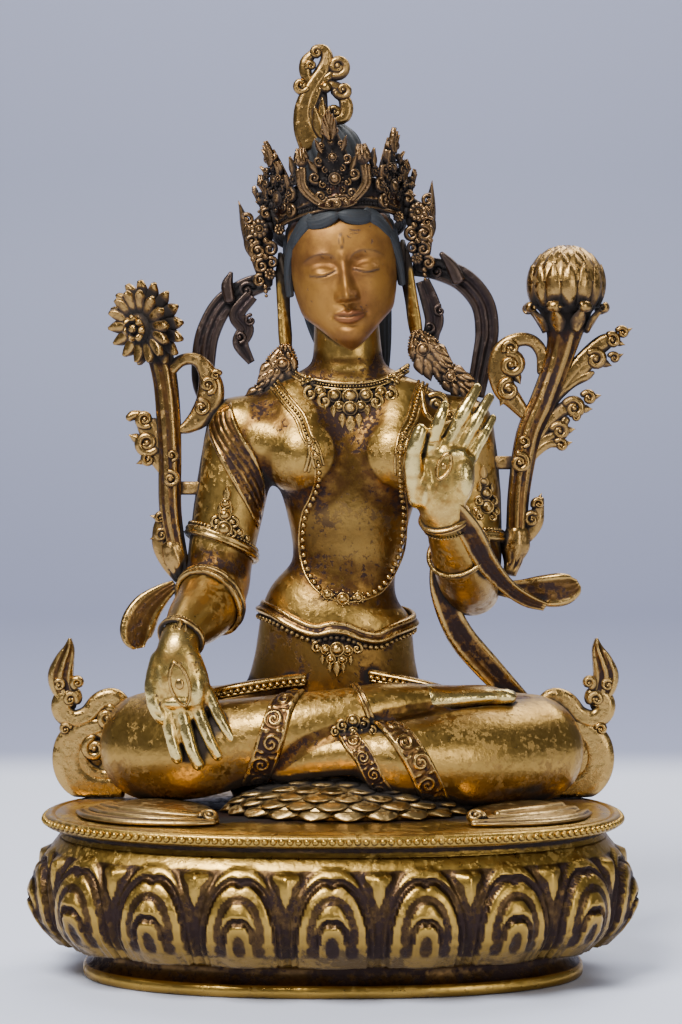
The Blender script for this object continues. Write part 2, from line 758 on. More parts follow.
def buildPlinth():
    p = plinth
    high = plinthHigh
    halfWidth, halfDepth = p["petalHalf"], high[1]
    count = p["petals"] * p["columns"]
    at, out = planLine(halfWidth, halfDepth, count)
    petalColumn = np.arange(count) / p["columns"]
    across = 2 * (petalColumn - np.round(petalColumn))
    plateUnder = high[2] - p["plateEdge"]
    band = plateUnder - p["neck"] - p["petalFoot"]
    up = np.linspace(0, p["drawnPetals"], p["petalRows"])
    relief = petalRelief(across[None], up[:, None])
    # the band of petals goes round as one closed ring: up its face, and down a plain wall inside it
    inner = np.array([20.0, 22.0, 20.0])
    inset = np.concatenate([-relief, np.repeat(inner[:, None], count, 1)])
    height = p["petalFoot"] + np.concatenate([up / p["drawnPetals"] * band, [band, band / 2, 0]])
    rings = ringed(at, out, inset, height).transpose(1, 0, 2)
    petals = rings.reshape(-1, 3), [tubeFaces(count, len(height), True)]
    metal = metals["plinth"], "plinth_gilt", "lotus_plinth", onPlinth
    addPiece("lotusPetals", [petals], *metal)
    # the plain foot, waist, neck and plate: how far in from the petals' line, and how high
    foot = halfWidth - p["footHalf"]
    waist = halfWidth - p["waistHalf"]
    plate = halfWidth - p["plateHalf"]
    profile = np.array([
        [foot + 3, 0.0], [foot + 0.6, 0.2], [foot, 0.9], [foot - 0.2, 2.6], [foot, 4.2],
        [foot + 0.8, 4.9], [foot + 2.0, 5.4], [foot + 3.2, 6.6], [waist - 0.4, 8.2],
        [waist, 9.8], [waist - 0.6, 11.4], [waist - 2.2, 12.8], [15.4, 13.8], [15.8, 16], [14, 30],
        [12.6, 50], [11.0, 55.0], [11.4, 56.4], [12.4, 57.4], [12.2, 58.8], [plate + 5.5, 59.4],
        [plate + 4.0, 59.9], [plate + 1.6, 60.0], [plate + 0.5, 60.5], [plate, 61.4], [plate, 63.8],
        [plate + 0.6, 64.6], [plate + 1.6, 64.9], [plate + 3, 65.0], [plate + 3.6, 64.6],
        [plate + 4.4, 64.5], [plate + 5.2, 65.0],
    ])
    profile[profile[:, 1] > 50, 1] += high[2] - p["drawnHeight"]
    at, out = planLine(halfWidth, halfDepth, p["plainColumns"])
    rings = ringed(at, out, np.repeat(profile[:, :1], p["plainColumns"], 1), profile[:, 1])
    # the flat top and underside close in rings that shrink to the middle
    top = [rings[-1] * [f, f, 1] for f in (0.9, 0.7, 0.45, 0.2)]
    low = [rings[0] * [f, f, 1] for f in (0.2, 0.6, 0.9)]
    turnedBody = capped(np.concatenate([low, rings, top]), [[0, 0, 0], [0, 0, high[2]]])
    addPiece("lotusPlinthBody", [turnedBody], *metal)
    # the beads on the plate's edge
    at, out = planLine(halfWidth, halfDepth, p["beadLine"])
    edge = at - out * (plate - 0.2)
    number = int(lineLength(edge) / p["beadPitch"])
    string = smoothLine(np.column_stack([edge[::20], np.full(100, high[2] - 2.3)]), number, True)
    addPiece("plateBeads", [beads(string, p["beadRadius"])], *metal)


# Body

body = {
    "voxel": 1.45,  # mm, of the skin drawn round the body's parts
    "smoothing": 10,  # passes over the trunk and limbs
    "legSmoothing": 0.35,  # share of it that the legs take
    "handVoxel": 0.65,
    "trunk": [
        [0, 40, -4, 42, 25], [0, 40, 18, 43, 27], [0, 40, 36, 38.6, 25], [0.6, 38, 56, 34, 22],
        [0.9, 38, 68, 32.4, 21.2], [1.1, 38, 76, 31.4, 20.6], [1.6, 38, 81.6, 29, 19],
        [2.8, 37.8, 87, 25, 17.2], [4.4, 37.4, 94, 21.8, 16],
        [6, 37, 108, 24, 17], [6.5, 37, 122, 27.5, 18.5], [7, 37.5, 140, 34, 18.5],
        [7, 38, 155, 42, 16], [7, 38.5, 163, 40, 13.5], [6.5, 39, 170, 27, 12.4], [6.2, 39.3, 174, 18, 11],
    ],
    "neck": [
        [6.3, 39, 158, 30, 13.6], [6.2, 39.4, 167, 25, 14.2], [6.1, 39.5, 173, 18.6, 14.2],
        [6, 39.5, 179, 15.2, 13.8], [5.8, 39.3, 187, 14.4, 13.6], [5.5, 39, 195, 13.9, 13.4],
        [5.2, 39, 201, 13.2, 13],
    ],
    "rightArm": [
        [-38, 38, 155, 14.6, 14.5], [-41.6, 37.4, 130, 15.2, 15.0], [-45.8, 36.2, 106, 14.2, 14.2],
        [-47.2, 35, 97, 13.8, 13.8], [-48, 32, 89, 13.9, 13.6], [-51, 19.5, 81, 13.8, 13.2],
        [-55.5, 6, 75.5, 12.2, 11.4], [-58.6, -3.5, 72, 9.6, 8.8], [-60.2, -8.4, 69.4, 8.2, 7.2],
    ],
    "rightHand": [
        [-60, -7.4, 70, 8.4, 7.4], [-61.2, -12, 66, 8.2, 6.8], [-61.2, -14.5, 60, 10.2, 5.8],
        [-60.2, -15.5, 52, 11.6, 5.0], [-59, -15.6, 45.6, 10.6, 3.6],
    ],
    "leftArm": [
        [52, 38, 155, 14.6, 14.5], [54.8, 37, 130, 14.7, 14.9], [56.3, 34, 104, 13.8, 14.0],
        [56.8, 31, 92, 12.6, 12.8], [57, 27, 85, 12.0, 12.0],
    ],
    "leftForearm": [
        [57, 30, 87.5, 12.0, 12], [55, 17, 92.5, 13, 12.6], [51, 2, 102, 12.2, 11.4],
        [46, -10, 112.5, 9.4, 8.6], [43.9, -14.2, 117.6, 8.6, 7.6],
    ],
    "leftHand": [
        [44.2, -13.6, 116.8, 8.8, 7.8], [43, -17, 122, 9.6, 7.0], [42.8, -18.6, 127, 11.6, 6.0],
        [43.8, -19.6, 134, 12.2, 5.0], [46, -19.8, 142.4, 10.2, 3.6],
    ],
    "rightThigh": [[-14, 46, 27, 20, 20], [-44, 38, 24.5, 22, 21.5], [-73, 24, 22.8, 22.4, 22.4]],
    "rightShin": [
        [-75.5, 22, 22.6, 22.4, 22.4], [-56, 4, 23.4, 19.6, 20], [-34, -5, 28, 15.6, 17.2],
        [-18, -7.5, 31.8, 14.6, 15.4], [3, -8, 37.2, 12, 12], [22, -4, 41.8, 10, 9.6],
        [36, 1, 43.2, 8.4, 7.0], [42, 2.6, 43.4, 8.2, 6.0],
    ],
    "rightFoot": [
        [38, 1.6, 43.3, 8.6, 6.8], [46, 3.6, 43.8, 9.2, 5.6], [54, 5.4, 44.4, 9.0, 4.8],
        [61, 7.2, 44.8, 9.8, 4.2], [65.4, 8, 44.8, 9.2, 3.4],
    ],
    "leftThigh": [[16, 46, 27, 20, 20], [48, 38, 23.8, 21.6, 21.4], [82, 21, 22, 22, 21.8]],
    "leftShin": [
        [83, 19, 21.8, 22, 21.6], [60, 0, 21, 20, 20.4], [36, -12, 21.6, 17, 17.6],
        [20, -17, 22.8, 13.6, 14], [9, -18, 24.4, 9, 9], [-5, -16, 22.5, 8, 8], [-20, -10, 18, 8, 7],
    ],
    "breasts": [[-11.5, 31, 142, 18, 19.5, 18], [26, 31, 142, 18, 19.5, 18]],
    # from the collarbones down into the breasts
    "chest": [
        [[-15, 36, 166, 14, 10], [-13, 31.5, 153, 15.5, 14], [-11.5, 31, 143, 16, 17]],
        [[29, 36, 166, 14, 10], [27.5, 31.5, 153, 15.5, 14], [26, 31, 143, 16, 17]],
    ],
    # shoulders and the fullness between breast and arm, their width front to back
    "shoulders": [
        [[-8, 39.5, 170, 11, 9], [-24, 39, 159.5, 12.5, 10.5], [-37, 38, 153.5, 14, 13]],
        [[20, 39.5, 170, 11, 9], [37, 39, 159.5, 12.5, 10.5], [51, 38, 153.5, 14, 13]],
        [[-13, 31.5, 146, 16.5, 15], [-24, 33.5, 147, 15.5, 14.5], [-36, 37, 150, 13.5, 13.5]],
        [[27.5, 31.5, 146, 16.5, 15], [38.5, 33.5, 147, 15.5, 14.5], [50, 37, 150, 13.5, 13.5]],
    ],
    "palmPads": [
        [-67.4, -16.5, 53, 4.4, 3.8, 9], [-54.6, -17.2, 49, 4.4, 3.4, 8.5], [-60, -18, 44.5, 8, 2.6, 2.6],
        [36.4, -21, 129, 4.4, 3.8, 8.5], [50.6, -21.4, 133, 4.4, 3.4, 8], [45, -21.6, 142.6, 7.6, 2.6, 2.8],
    ],
    "rightFingers": [
        [[-68.5, -13.5, 61, 4.8, 4.6], [-70.8, -16, 52, 4.4, 4.2], [-70.9, -17.5, 46, 3.6, 3.3],
         [-69.6, -17.7, 42, 3.6, 3.2], [-67.8, -17.5, 38.5, 2.6, 2.4]],
        [[-66, -15, 46, 3.7, 3.5], [-65, -16.2, 38.6, 3.5, 3.2], [-64, -17.2, 33, 3.5, 3.2],
         [-62.8, -18, 27.6, 3.1, 2.9], [-61.2, -17.8, 22.5, 2.5, 2.3]],
        [[-60.8, -16, 45, 3.9, 3.6], [-58.9, -17.2, 37.2, 3.6, 3.3], [-57.1, -18.2, 31, 3.6, 3.3],
         [-55.2, -18.8, 25.2, 3.2, 3.0], [-53, -18.4, 20, 2.5, 2.3]],
        [[-55.2, -15.5, 46, 3.8, 3.5], [-52.4, -16.8, 38.8, 3.5, 3.2], [-50.2, -17.8, 33.6, 3.4, 3.1],
         [-48, -18.4, 28.6, 3.1, 2.9], [-45.4, -18, 23.6, 2.4, 2.2]],
        [[-50, -14.5, 49, 3.4, 3.2], [-46.8, -16, 42.6, 3.1, 2.8], [-44.4, -17.2, 38, 3.0, 2.7],
         [-42.2, -17.8, 34, 2.7, 2.5], [-39.8, -17.6, 29.8, 2.1, 1.9]],
    ],
    "leftFingers": [
        [[33.8, -19, 125, 5, 4.8], [31.8, -22, 134, 4.4, 4.2], [31.4, -24.5, 142, 3.8, 3.4],
         [32.6, -25.8, 147.5, 3.6, 3.2], [34.2, -26, 152, 2.4, 2.3]],
        [[38, -20, 143, 3.6, 3.4], [39.4, -22.8, 149, 3.2, 2.9], [41, -25, 154.4, 3.1, 2.8],
         [42.4, -24.8, 158, 2.7, 2.5], [43.6, -23, 161.5, 1.9, 1.9]],
        [[44.5, -20, 146, 3.8, 3.4], [48, -20.6, 153, 3.3, 3.0], [51.2, -20.8, 159.2, 3.3, 3.0],
         [54, -19.4, 164, 2.8, 2.6], [56.6, -17, 168.4, 1.9, 1.9]],
        [[49.6, -19, 144.5, 3.6, 3.2], [53.2, -19, 150.6, 3.1, 2.8], [56.4, -18.6, 156, 3.0, 2.7],
         [59, -17, 160.6, 2.6, 2.4], [61.8, -14.5, 164.8, 1.8, 1.8]],
        [[53.6, -17.5, 140, 3.2, 3], [56.6, -17.4, 145.4, 2.7, 2.5], [59, -16.9, 149.6, 2.7, 2.4],
         [61, -15.6, 153, 2.3, 2.2], [63, -13.8, 156.6, 1.6, 1.6]],
    ],
    "toes": [
        [[60, 2.0, 44.6, 3.2, 3.4], [68, 1.6, 44.8, 2.9, 3.2], [71.2, 2, 44.6, 2.6, 2.8]],
        [[60, 6.6, 44.8, 2.8, 3.0], [69.6, 6.4, 45, 2.3, 2.6], [72.4, 6.6, 44.8, 2.0, 2.2]],
        [[60, 10.4, 44.6, 2.6, 2.8], [68.6, 10.6, 44.8, 2.1, 2.4], [71.4, 10.8, 44.6, 1.8, 2.0]],
        [[58, 13.8, 44.4, 2.4, 2.6], [66.4, 14.2, 44.6, 1.9, 2.2], [69, 14.4, 44.4, 1.7, 1.8]],
    ],
    # lines cut into the skin: their points, half width and depth
    "cuts": [
        [[[-70, -21, 40.6], [-63.4, -21, 38.8], [-57.3, -21, 39.6], [-49.5, -20, 43.6]], 0.8, 0.7],
        [[[-65.2, -21, 56], [-64, -22, 50], [-64.6, -22, 44]], 0.7, 0.6],
        [[[33.5, -25, 146.5], [38, -24, 138], [40, -25, 131]], 0.8, 0.6],
        [[[38, -24, 146.6], [44, -25, 146], [51, -24, 142.6]], 0.8, 0.6],
    ],
    "bodyCuts": [
        [[[-9, 27.6, 177.4], [-2, 25.6, 175.6], [6, 25.2, 175], [14, 25.6, 175.6], [21, 27.6, 177.4]],
         1.3, 0.5],
        [[[-8, 28, 182], [-2, 26.2, 180.4], [6, 25.8, 180], [14, 26.2, 180.4], [20, 28, 182]], 1.2, 0.45],
        [[[6.4, 19, 96.4], [6.6, 19, 94.6]], 1.5, 2.0],
        [[[-10, 16.6, 89.6], [-3, 17.4, 87.4], [6, 17.4, 86.6], [15, 17.4, 87.6], [22, 17, 90]], 1.4, 0.7],
    ],
}
limbs = {
    "rightArm": (body["rightArm"], (1, 0, 0)),
    "leftArm": (body["leftArm"], (1, 0, 0)),
    "leftForearm": (body["leftForearm"], (1, 0, 0)),
    "rightShin": (body["rightShin"], (0, 1, 0)),
    "leftShin": (body["leftShin"], (0, 1, 0)),
}
limbSteps = 400  # points that a limb's line is read at
bandSteps = 40  # points of a band or string round a limb


def onLimb(name, u, turn, out=0.0):
    # the place at share u of a limb's length and at a turn round it from its side, out from the skin
    rows, side = limbs[name]
    line = smoothLine(rows, limbSteps)
    _, across, up = lineFrame(line, side)
    shares = np.linspace(0, 1, limbSteps)
    read = lambda table: np.stack([np.interp(u, shares, column) for column in table.T], -1)
    at, across, up = read(line), read(across), read(up)
    c, s = np.cos(turn)[..., None], np.sin(turn)[..., None]
    return at[..., :3] + across * (at[..., 3:4] + out) * c + up * (at[..., 4:5] + out) * s


def limbRows(name, u, turn, halfWidth, thick, out, closed=False):
    # rows for a strap at shares u of a limb's length and turns round it, its width lying on the skin
    at = onLimb(name, u, turn, out)
    outer = unit(onLimb(name, u, turn, out + 1) - at)
    sizes = np.tile([halfWidth, thick], (len(at), 1))
    return np.concatenate([at, sizes, np.cross(outer, tangents(at, closed))], 1)


def toLine(points, line):
    # each point's distance to the nearest of a line's points
    best = np.full(len(points), 1e9)
    for start in range(0, len(line), 16):
        gap = points[:, None] - line[None, start:start + 16]
        best = np.minimum(best, (gap**2).sum(2).min(1))
    return np.sqrt(best)


def engraved(points, normals, lines):
    # moves points along their normals by depth times exp(-(distance / width) squared)
    moved = points.copy()
    for rows, width, depth in lines:
        line = smoothLine(rows, 60)[:, :3]
        near = ((points > line.min(0) - 3 * width - 2) & (points < line.max(0) + 3 * width + 2)).all(1)
        gap = toLine(points[near], line)
        moved[near] -= normals[near] * (depth * np.exp(-((gap / width) ** 2)))[:, None]
    return moved


def normalsOf(points, faces):
    total = np.zeros_like(points)
    for f in faces:
        normal = np.cross(points[f[:, 2]] - points[f[:, 0]], points[f[:, -1]] - points[f[:, 1]])
        for corner in f.T:
            for axis in range(3):
                total[:, axis] += np.bincount(corner, normal[:, axis], len(points))
    return unit(total)


def bodyParts():
    b = body
    fine = dict(around=48, count=90)
    parts = [sweep(b["trunk"], cap=0.1, **fine), sweep(b["neck"], **fine)]
    parts += [sweep(b[name], **fine) for name in ("rightArm", "leftArm", "leftForearm")]
    parts += [ball(row[:3], row[3:], 48, 36) for row in b["breasts"]]
    parts += [sweep(rows, around=48, count=40) for rows in b["chest"]]
    parts += [sweep(rows, side=(0, 1, 0), around=48, count=40) for rows in b["shoulders"]]
    parts += [
        sweep(b[name], side=(0, 1, 0), **fine)
        for name in ("rightThigh", "leftThigh", "rightShin", "leftShin")
    ]
    return parts


def buildBody():
    b = body
    points, faces, edges = remeshed("skin", bodyParts(), body["voxel"])
    smooth = averaged(points, edges, b["smoothing"])
    legs = 1 - ramp(points[:, 2], 46, 60)
    share = 1 - legs * (1 - b["legSmoothing"])
    points = points + share[:, None] * (smooth - points)
    points = engraved(points, normalsOf(points, faces), b["bodyCuts"])
    points[:, 2] = np.maximum(points[:, 2], 0)
    mesh = meshOf("gildedBody", (onFigure(points), faces))
    addMesh("gildedBody", mesh, metals["figure"], "figure")
    return [points, *buildHands()]


def fingered(rows, wide, deep):
    # a finger with a blunt tip, and creases at its joints
    rows = np.array(rows, float)
    rows[:, 3] *= wide
    rows[:, 4] *= deep
    rows[-1, 3:5] *= 1.25
    creases = lambda share, turn: -0.28 * (bump(share - 0.36, 0.022) + bump(share - 0.66, 0.022)) + 0 * turn
    return sweep(rows, around=28, count=60, cap=1.0, relief=creases)


def buildHands():
    b = body
    pads = [ball(row[:3], row[3:], 32, 20) for row in b["palmPads"]]
    palm = dict(around=56, count=80)
    right = [sweep(b["rightHand"], **palm), *pads[:3]]
    right += [fingered(rows, 0.84, 0.9) for rows in b["rightFingers"]]
    left = [sweep(b["leftHand"], **palm), *pads[3:]]
    left += [fingered(rows, 0.9, 0.9) for rows in b["leftFingers"]]
    toes = [sweep(rows, side=(0, 1, 0), around=28, count=40, cap=1.0) for rows in b["toes"]]
    foot = [sweep(b["rightFoot"], side=(0, 1, 0), **palm), *toes]
    made = []
    for name, parts in (("rightHand", right), ("leftHand", left), ("rightFoot", foot)):
        points, faces, edges = remeshed(name, parts, b["handVoxel"])
        points = averaged(points, edges, 3)
        points = engraved(points, normalsOf(points, faces), b["cuts"])
        mesh = meshOf(name, (onFigure(points), faces))
        addMesh(name, mesh, metals["hand"], "figure")
        made.append(points)
    return made


# Head: places are over the eyes' line, turned and set on the neck by onHead

headLean = np.radians(-6)
headPlace = np.array([4.5, 38, 217])


def onHead(points):
    points = np.asarray(points, float)
    x, y, z = points[..., 0], points[..., 1], points[..., 2]
    c, s = np.cos(headLean), np.sin(headLean)
    return np.stack([x * c + z * s, y, z * c - x * s], -1) + headPlace


def headRows(rows, flip=1):
    # rows in the head's own places, mirrored where flip is -1; what follows x, y, z is kept
    rows = np.array(rows, float)
    rows[:, 0] *= flip
    rows[:, :3] = onHead(rows[:, :3])
    return rows


face = {
    "chin": -31.0,
    "third": 18.3,  # brow, base of the nose and chin are thirds under the hairline
    "eyeStep": 8.9,
    "eyeHalf": 5.7,
    # height, half width, depth in front and behind
    "levels": [
        [-32.6, 1.2, 10.5, -6], [-31.8, 5.6, 16.6, 0], [-29.6, 9.8, 19.6, 6], [-26, 13.4, 21.0, 11],
        [-20, 17.2, 21.5, 15.4], [-13, 19.8, 21.8, 19], [-3, 21.8, 22, 23], [8, 22.6, 22, 26],
        [18, 21.6, 20.4, 26], [25, 17, 15, 21], [29, 9, 8, 12],
    ],
    "columns": 150,
    "rows": 154,
    "backColumns": 16,
}


def bump(distance, width):
    return np.exp(-((distance / width) ** 2))


def ramp(value, low, high):
    t = np.clip((value - low) / (high - low), 0, 1)
    return t * t * (3 - 2 * t)


def faceShape(x, z):
    # how far the features stand out, with shares of dark paint and of lip paint
    q = np.abs(x)
    noseBase = face["chin"] + face["third"]
    brow = noseBase + face["third"]
    mouth = noseBase - face["third"] / 3
    e = (q - face["eyeStep"]) / face["eyeHalf"]
    inEye = np.clip(1 - e**2, 0, 1)
    # brows: long arcs that spring from the root of the nose
    browLine = brow + 1.6 - 0.045 * (q - 9) ** 2 - 2.6 * bump(q, 3.0)
    out = 0.75 * bump(z - browLine + 0.8, 2.2) * bump(q - 9, 9)
    out += 0.28 * bump(z - browLine, 0.42) * ramp(q, 1.6, 3.4) * (1 - ramp(q, 15.5, 18))
    ink = bump(z - browLine, 0.5) * ramp(q, 2.4, 4) * (1 - ramp(q, 14.5, 17.5)) * 0.75
    # sockets, then the ball of the eye under a heavy upper lid
    out -= 2.3 * bump(q - 5.6, 4.4) * bump(z - 2.8, 3.4)
    out -= 0.9 * bump(q - 11, 6) * bump(z - 3.6, 2.0)
    out += 1.9 * np.exp(-(((e / 1.02) ** 2 + ((z - 0.1) / 3.3) ** 2) ** 1.6))
    slit = -1.3 + 0.9 * e**2 - 0.5 * e * (q > 0) - 0.55 * bump(e, 0.55)
    crease = 2.3 - 2.1 * e**2 + 0.2 * e
    lower = -2.7 + 1.9 * e**2
    openEye = ramp(inEye, 0.0, 0.25)
    out += 0.45 * bump(z - slit - 0.75, 0.7) * openEye
    out -= 0.75 * bump(z - slit + 0.25, 0.42) * openEye
    out += 0.35 * bump(z - lower + 0.1, 0.55) * openEye
    out -= 0.4 * bump(z - crease, 0.42) * ramp(inEye, 0.02, 0.35)
    ink = np.maximum(ink, bump(z - slit + 0.1, 0.42) * ramp(inEye, -0.02, 0.12))
    # nose: a narrow bridge that widens to the tip, and two wings
    down = np.clip((brow - 1 - z) / (face["third"] - 1), 0, 1)
    under = ramp(z, noseBase - 0.9, noseBase + 0.5)
    out += under * (0.9 + 5.2 * down**1.3) * bump(x, 2.1 + 1.0 * down) * ramp(brow + 3 - z, 0, 4)
    out += 1.5 * under * bump(x, 3.0) * bump(z - noseBase - 2.2, 2.3)
    overBase = ramp(z, noseBase - 0.5, noseBase + 0.5)
    out += 2.1 * overBase * bump(q - 3.5, 1.35) * bump(z - noseBase - 1.5, 1.7)
    out -= 0.6 * bump(q - 5.3, 0.8) * bump(z - noseBase - 1.6, 2.0)
    out -= 0.9 * bump(q - 1.9, 0.8) * bump(z - noseBase + 0.1, 0.5)
    # mouth
    m = q / 6.6
    lipShare = np.clip(1 - m**2, 0, 1)
    bow = 1.75 - 0.55 * bump(x, 0.9) + 0.35 * bump(q - 1.7, 1.2)
    line = mouth + 0.55 * m**2 - 0.22 * bump(x, 1.5)
    lipTop, lipDeep = line + bow * lipShare, 2.3 * lipShare**0.7
    upper = ramp(z, line - 0.1, line + 0.5) * (1 - ramp(z, lipTop, lipTop + 0.7))
    lowerLip = ramp(line - z, -0.1, 0.6) * (1 - ramp(line - z, lipDeep, lipDeep + 1.1))
    out += 1.5 * bump(x, 8) * bump(z - mouth, 5)
    out += (1.25 * upper + 1.35 * lowerLip) * lipShare**0.6
    out -= 0.75 * bump(z - line, 0.34) * ramp(lipShare, 0, 0.3)
    out -= 0.7 * bump(q - 7.2, 1.1) * bump(z - mouth - 0.5, 1.3)
    out -= 0.75 * bump(x, 0.85) * ramp(z, mouth + 1.6, mouth + 3) * (1 - ramp(z, noseBase - 1.2, noseBase))
    out -= 0.9 * bump(x, 5) * bump(z - mouth + 3.9, 1.2)
    lip = np.clip(upper + lowerLip, 0, 1) * ramp(lipShare, 0.0, 0.2)
    ink = np.maximum(ink, 0.7 * bump(z - line, 0.3) * ramp(lipShare, 0.0, 0.2))
    # chin, cheeks and the mark between the brows
    out += 1.5 * bump(x, 5.4) * bump(z - face["chin"] - 4.4, 3.6)
    out += 1.2 * bump(q - 12, 6.5) * bump(z + 8, 6.5)
    mark = (np.abs(x) / 0.95) ** 1.3 + (np.abs(z - brow - 6) / 3.3) ** 1.3
    ink = np.maximum(ink, 0.8 * (1 - ramp(np.abs(mark - 1), 0.15, 0.45)))
    out += 0.3 * (1 - ramp(mark, 0.5, 1.2))
    return out, np.clip(ink, 0, 1), lip


def buildHead():
    f = face
    levels = smoothLine(f["levels"], f["rows"])
    z, wide, front, back = [levels[:, i:i + 1] for i in range(4)]
    turn = np.linspace(-np.pi / 2, np.pi / 2, f["columns"])
    s, c = np.sin(turn), np.cos(turn)
    side = np.sign(s) * np.abs(s) ** (2 / 2.2)
    x = wide * side
    relief, ink, lip = faceShape(x, z + 0 * x)
    y = -front * np.abs(c) ** (2 / 2.2) - relief * (1 - side**4)
    behind = np.linspace(0, np.pi, f["backColumns"] + 2)[1:-1]
    x = np.concatenate([x, wide * np.cos(behind)], 1)
    y = np.concatenate([y, back * np.sin(behind)], 1)
    # under the jaw the levels rise towards the back
    z = z + 0 * x + 0.36 * (1 - ramp(z, -31, -14)) * (y + front)
    zero = np.zeros((f["rows"], f["backColumns"]))
    points, faces = capped(np.stack([x, y, z], -1), [[0, -4, z[0].mean()], [0, 0, 30.4]])
    neckRows = [
        [5.9, 39.4, 186, 12.4, 11.4], [5.6, 39.2, 194, 12.4, 11.6], [5.2, 39, 201, 12.6, 12],
        [5, 39, 206, 12, 12],
    ]
    neck = sweep(neckRows, around=64, count=30)
    parts = [outward((onHead(points), faces)), outward(neck)]
    verts, faces = merged(parts)
    mesh = meshOf("paintedHead", (onFigure(verts), faces))
    for name, values in (("ink", ink), ("lip", lip)):
        painted = np.concatenate([np.concatenate([values, zero], 1).ravel(), np.zeros(2 + len(neck[0]))])
        setAttribute(mesh, name, painted)
    addMesh("paintedHead", mesh, faceGold("faceGold", facePaint), "figure")


facePaint = {
    "paint": rgb(166, 118, 52),
    "deep": rgb(118, 76, 34),
    "worn": rgb(92, 56, 32),
    "chip": rgb(52, 36, 30),
    "ink": rgb(44, 30, 26),
    "lip": rgb(122, 70, 44),
    "roughness": 0.40,
}


def faceGold(name, look):
    # matt gold paint, clouded and worn through in small chips, with painted brows, lids and lips
    s = Shader(name)
    hollow = s.attribute("hollow")
    cloud = s.noise(55, 5.0, 0.6)
    fine = s.noise(240, 4.0, 0.6)
    chips = s.noise(150, 6.0, 0.75, 0.6)
    colour = s.mix(cloud.between(0.35, 0.68), look["paint"], look["deep"])
    colour = s.mix((fine * 0.5 + hollow * 0.7 + cloud * 0.3).between(0.6, 1.1) * 0.75, colour, look["worn"])
    colour = s.mix(s.attribute("lip") * 0.75, colour, look["lip"])
    ink = (s.attribute("ink") * (1.25 - fine * 0.6)).clamp()
    colour = s.mix(ink * 0.9, colour, look["ink"])
    chip = chips.between(0.62, 0.66)
    colour = s.mix(chip * 0.8, colour, look["chip"])
    return s.finish({
        "Base Color": colour,
        "Roughness": (look["roughness"] + fine * 0.2 + chip * 0.2).clamp(0.2, 0.9),
        "Metallic": (0.7 - chip * 0.4 - ink * 0.4).clamp(),
        "Normal": s.bump(fine * 0.6 + cloud * 0.4 - chip * 0.5, 0.00035, 0.6),
    })


# Hair

hairPaint = {
    "dark": rgb(17, 18, 20),
    "slate": rgb(32, 36, 40),
    "brown": rgb(46, 34, 28),
}


def hairColour(name, look):
    s = Shader(name)
    cloud = s.noise(60, 5.0, 0.6)
    fine = s.noise(500, 3.0, 0.6)
    proud = s.attribute("proud")
    colour = s.mix((cloud * 0.6 + proud * 0.6).between(0.3, 0.9), look["dark"], look["slate"])
    colour = s.mix(fine.between(0.55, 0.75) * 0.6, colour, look["brown"])
    return s.finish({
        "Base Color": colour,
        "Roughness": (0.5 + fine * 0.25).clamp(),
        "Normal": s.bump(fine, 0.0003, 0.5),
    })


hair = {
    "capCentre": (0, 6.5, 9),
    "capRadii": (24.6, 26, 28),
    "strands": 46,
    # lobes of the front hair: points, half width and half thickness
    "lobes": [
        [[-0.6, -20.0, 22.8, 0.8, 0.9], [2.6, -20.4, 21.8, 2.4, 1.3], [6.6, -19.6, 20.8, 3.2, 1.5],
         [10.6, -17.8, 20.6, 3.0, 1.5], [13.6, -15.8, 22.4, 1.8, 1.2]],
        [[11.0, -17.0, 23.4, 1.8, 1.2], [14.2, -15.6, 20.2, 3.0, 1.6], [17.6, -12.8, 16.2, 3.0, 1.7],
         [20.0, -9.6, 12.4, 2.2, 1.4]],
        [[18.4, -11.4, 16.8, 2.0, 1.5], [21.4, -7.6, 9.6, 2.6, 1.9], [22.8, -4.6, 1.0, 2.0, 2.0],
         [23.2, -3.0, -7, 1.2, 1.6]],
    ],
    "knot": [
        [0, 8, 30, 15, 15], [0, 8, 36, 12.4, 12.4], [0, 8, 42, 12.8, 12.8], [0, 8, 50, 13.2, 13.2],
        [0, 8, 57, 11.4, 11.4], [0, 8, 62, 6.6, 6.6],
    ],
    "nape": [
        [0, 21, 8, 20, 8], [0, 23, -12, 19, 9], [1.4, 22.4, -30, 15.5, 7.4], [1.8, 20.4, -46, 11.4, 6],
        [2.2, 19, -56, 5, 3.4],
    ],
}


def strandsOf(count, depth):
    # grooves round a lock, deeper where it is thick
    return lambda share, turn: depth * (np.abs(np.sin(turn * count / 2 + share * 2)) ** 0.7 - 0.6)


def buildHair():
    h = hair
    material = hairColour("slateHair", hairPaint)
    around, down = 190, 90
    verts, faces = ball((0, 0, 0), (1, 1, 1), around, down)
    # locks run back from the middle of the forehead to the nape: their angle is measured round the x axis
    angle = np.arctan2(verts[:, 0], np.hypot(verts[:, 1], verts[:, 2]))
    swirl = 0.35 * np.sin(3 * np.arctan2(verts[:, 2], verts[:, 1]))
    lift = 0.55 * np.abs(np.sin(angle * h["strands"] / 2 + swirl))
    cap = onHead(verts * (np.array(h["capRadii"]) - 0.5 + lift[:, None]) + h["capCentre"]), faces
    parts = [cap]
    for rows in h["lobes"]:
        for flip in (-1, 1):
            lobe = headRows(rows, flip)
            parts.append(sweep(lobe, side=(0, 0, 1), around=36, count=24, relief=strandsOf(12, 0.35)))
    twist = lambda share, turn: 0.75 * np.abs(np.sin(turn * 9 + share * 7)) ** 0.7 - 0.5
    parts.append(sweep(headRows(h["knot"]), around=96, count=48, relief=twist))
    locks = lambda share, turn: 0.8 * np.abs(np.sin(turn * 13 + np.sin(share * 9) * 0.6)) ** 0.7 - 0.5
    parts.append(sweep(headRows(h["nape"]), around=104, count=36, relief=locks))
    addPiece("hairLocks", parts, material, "hair_paint", "figure")


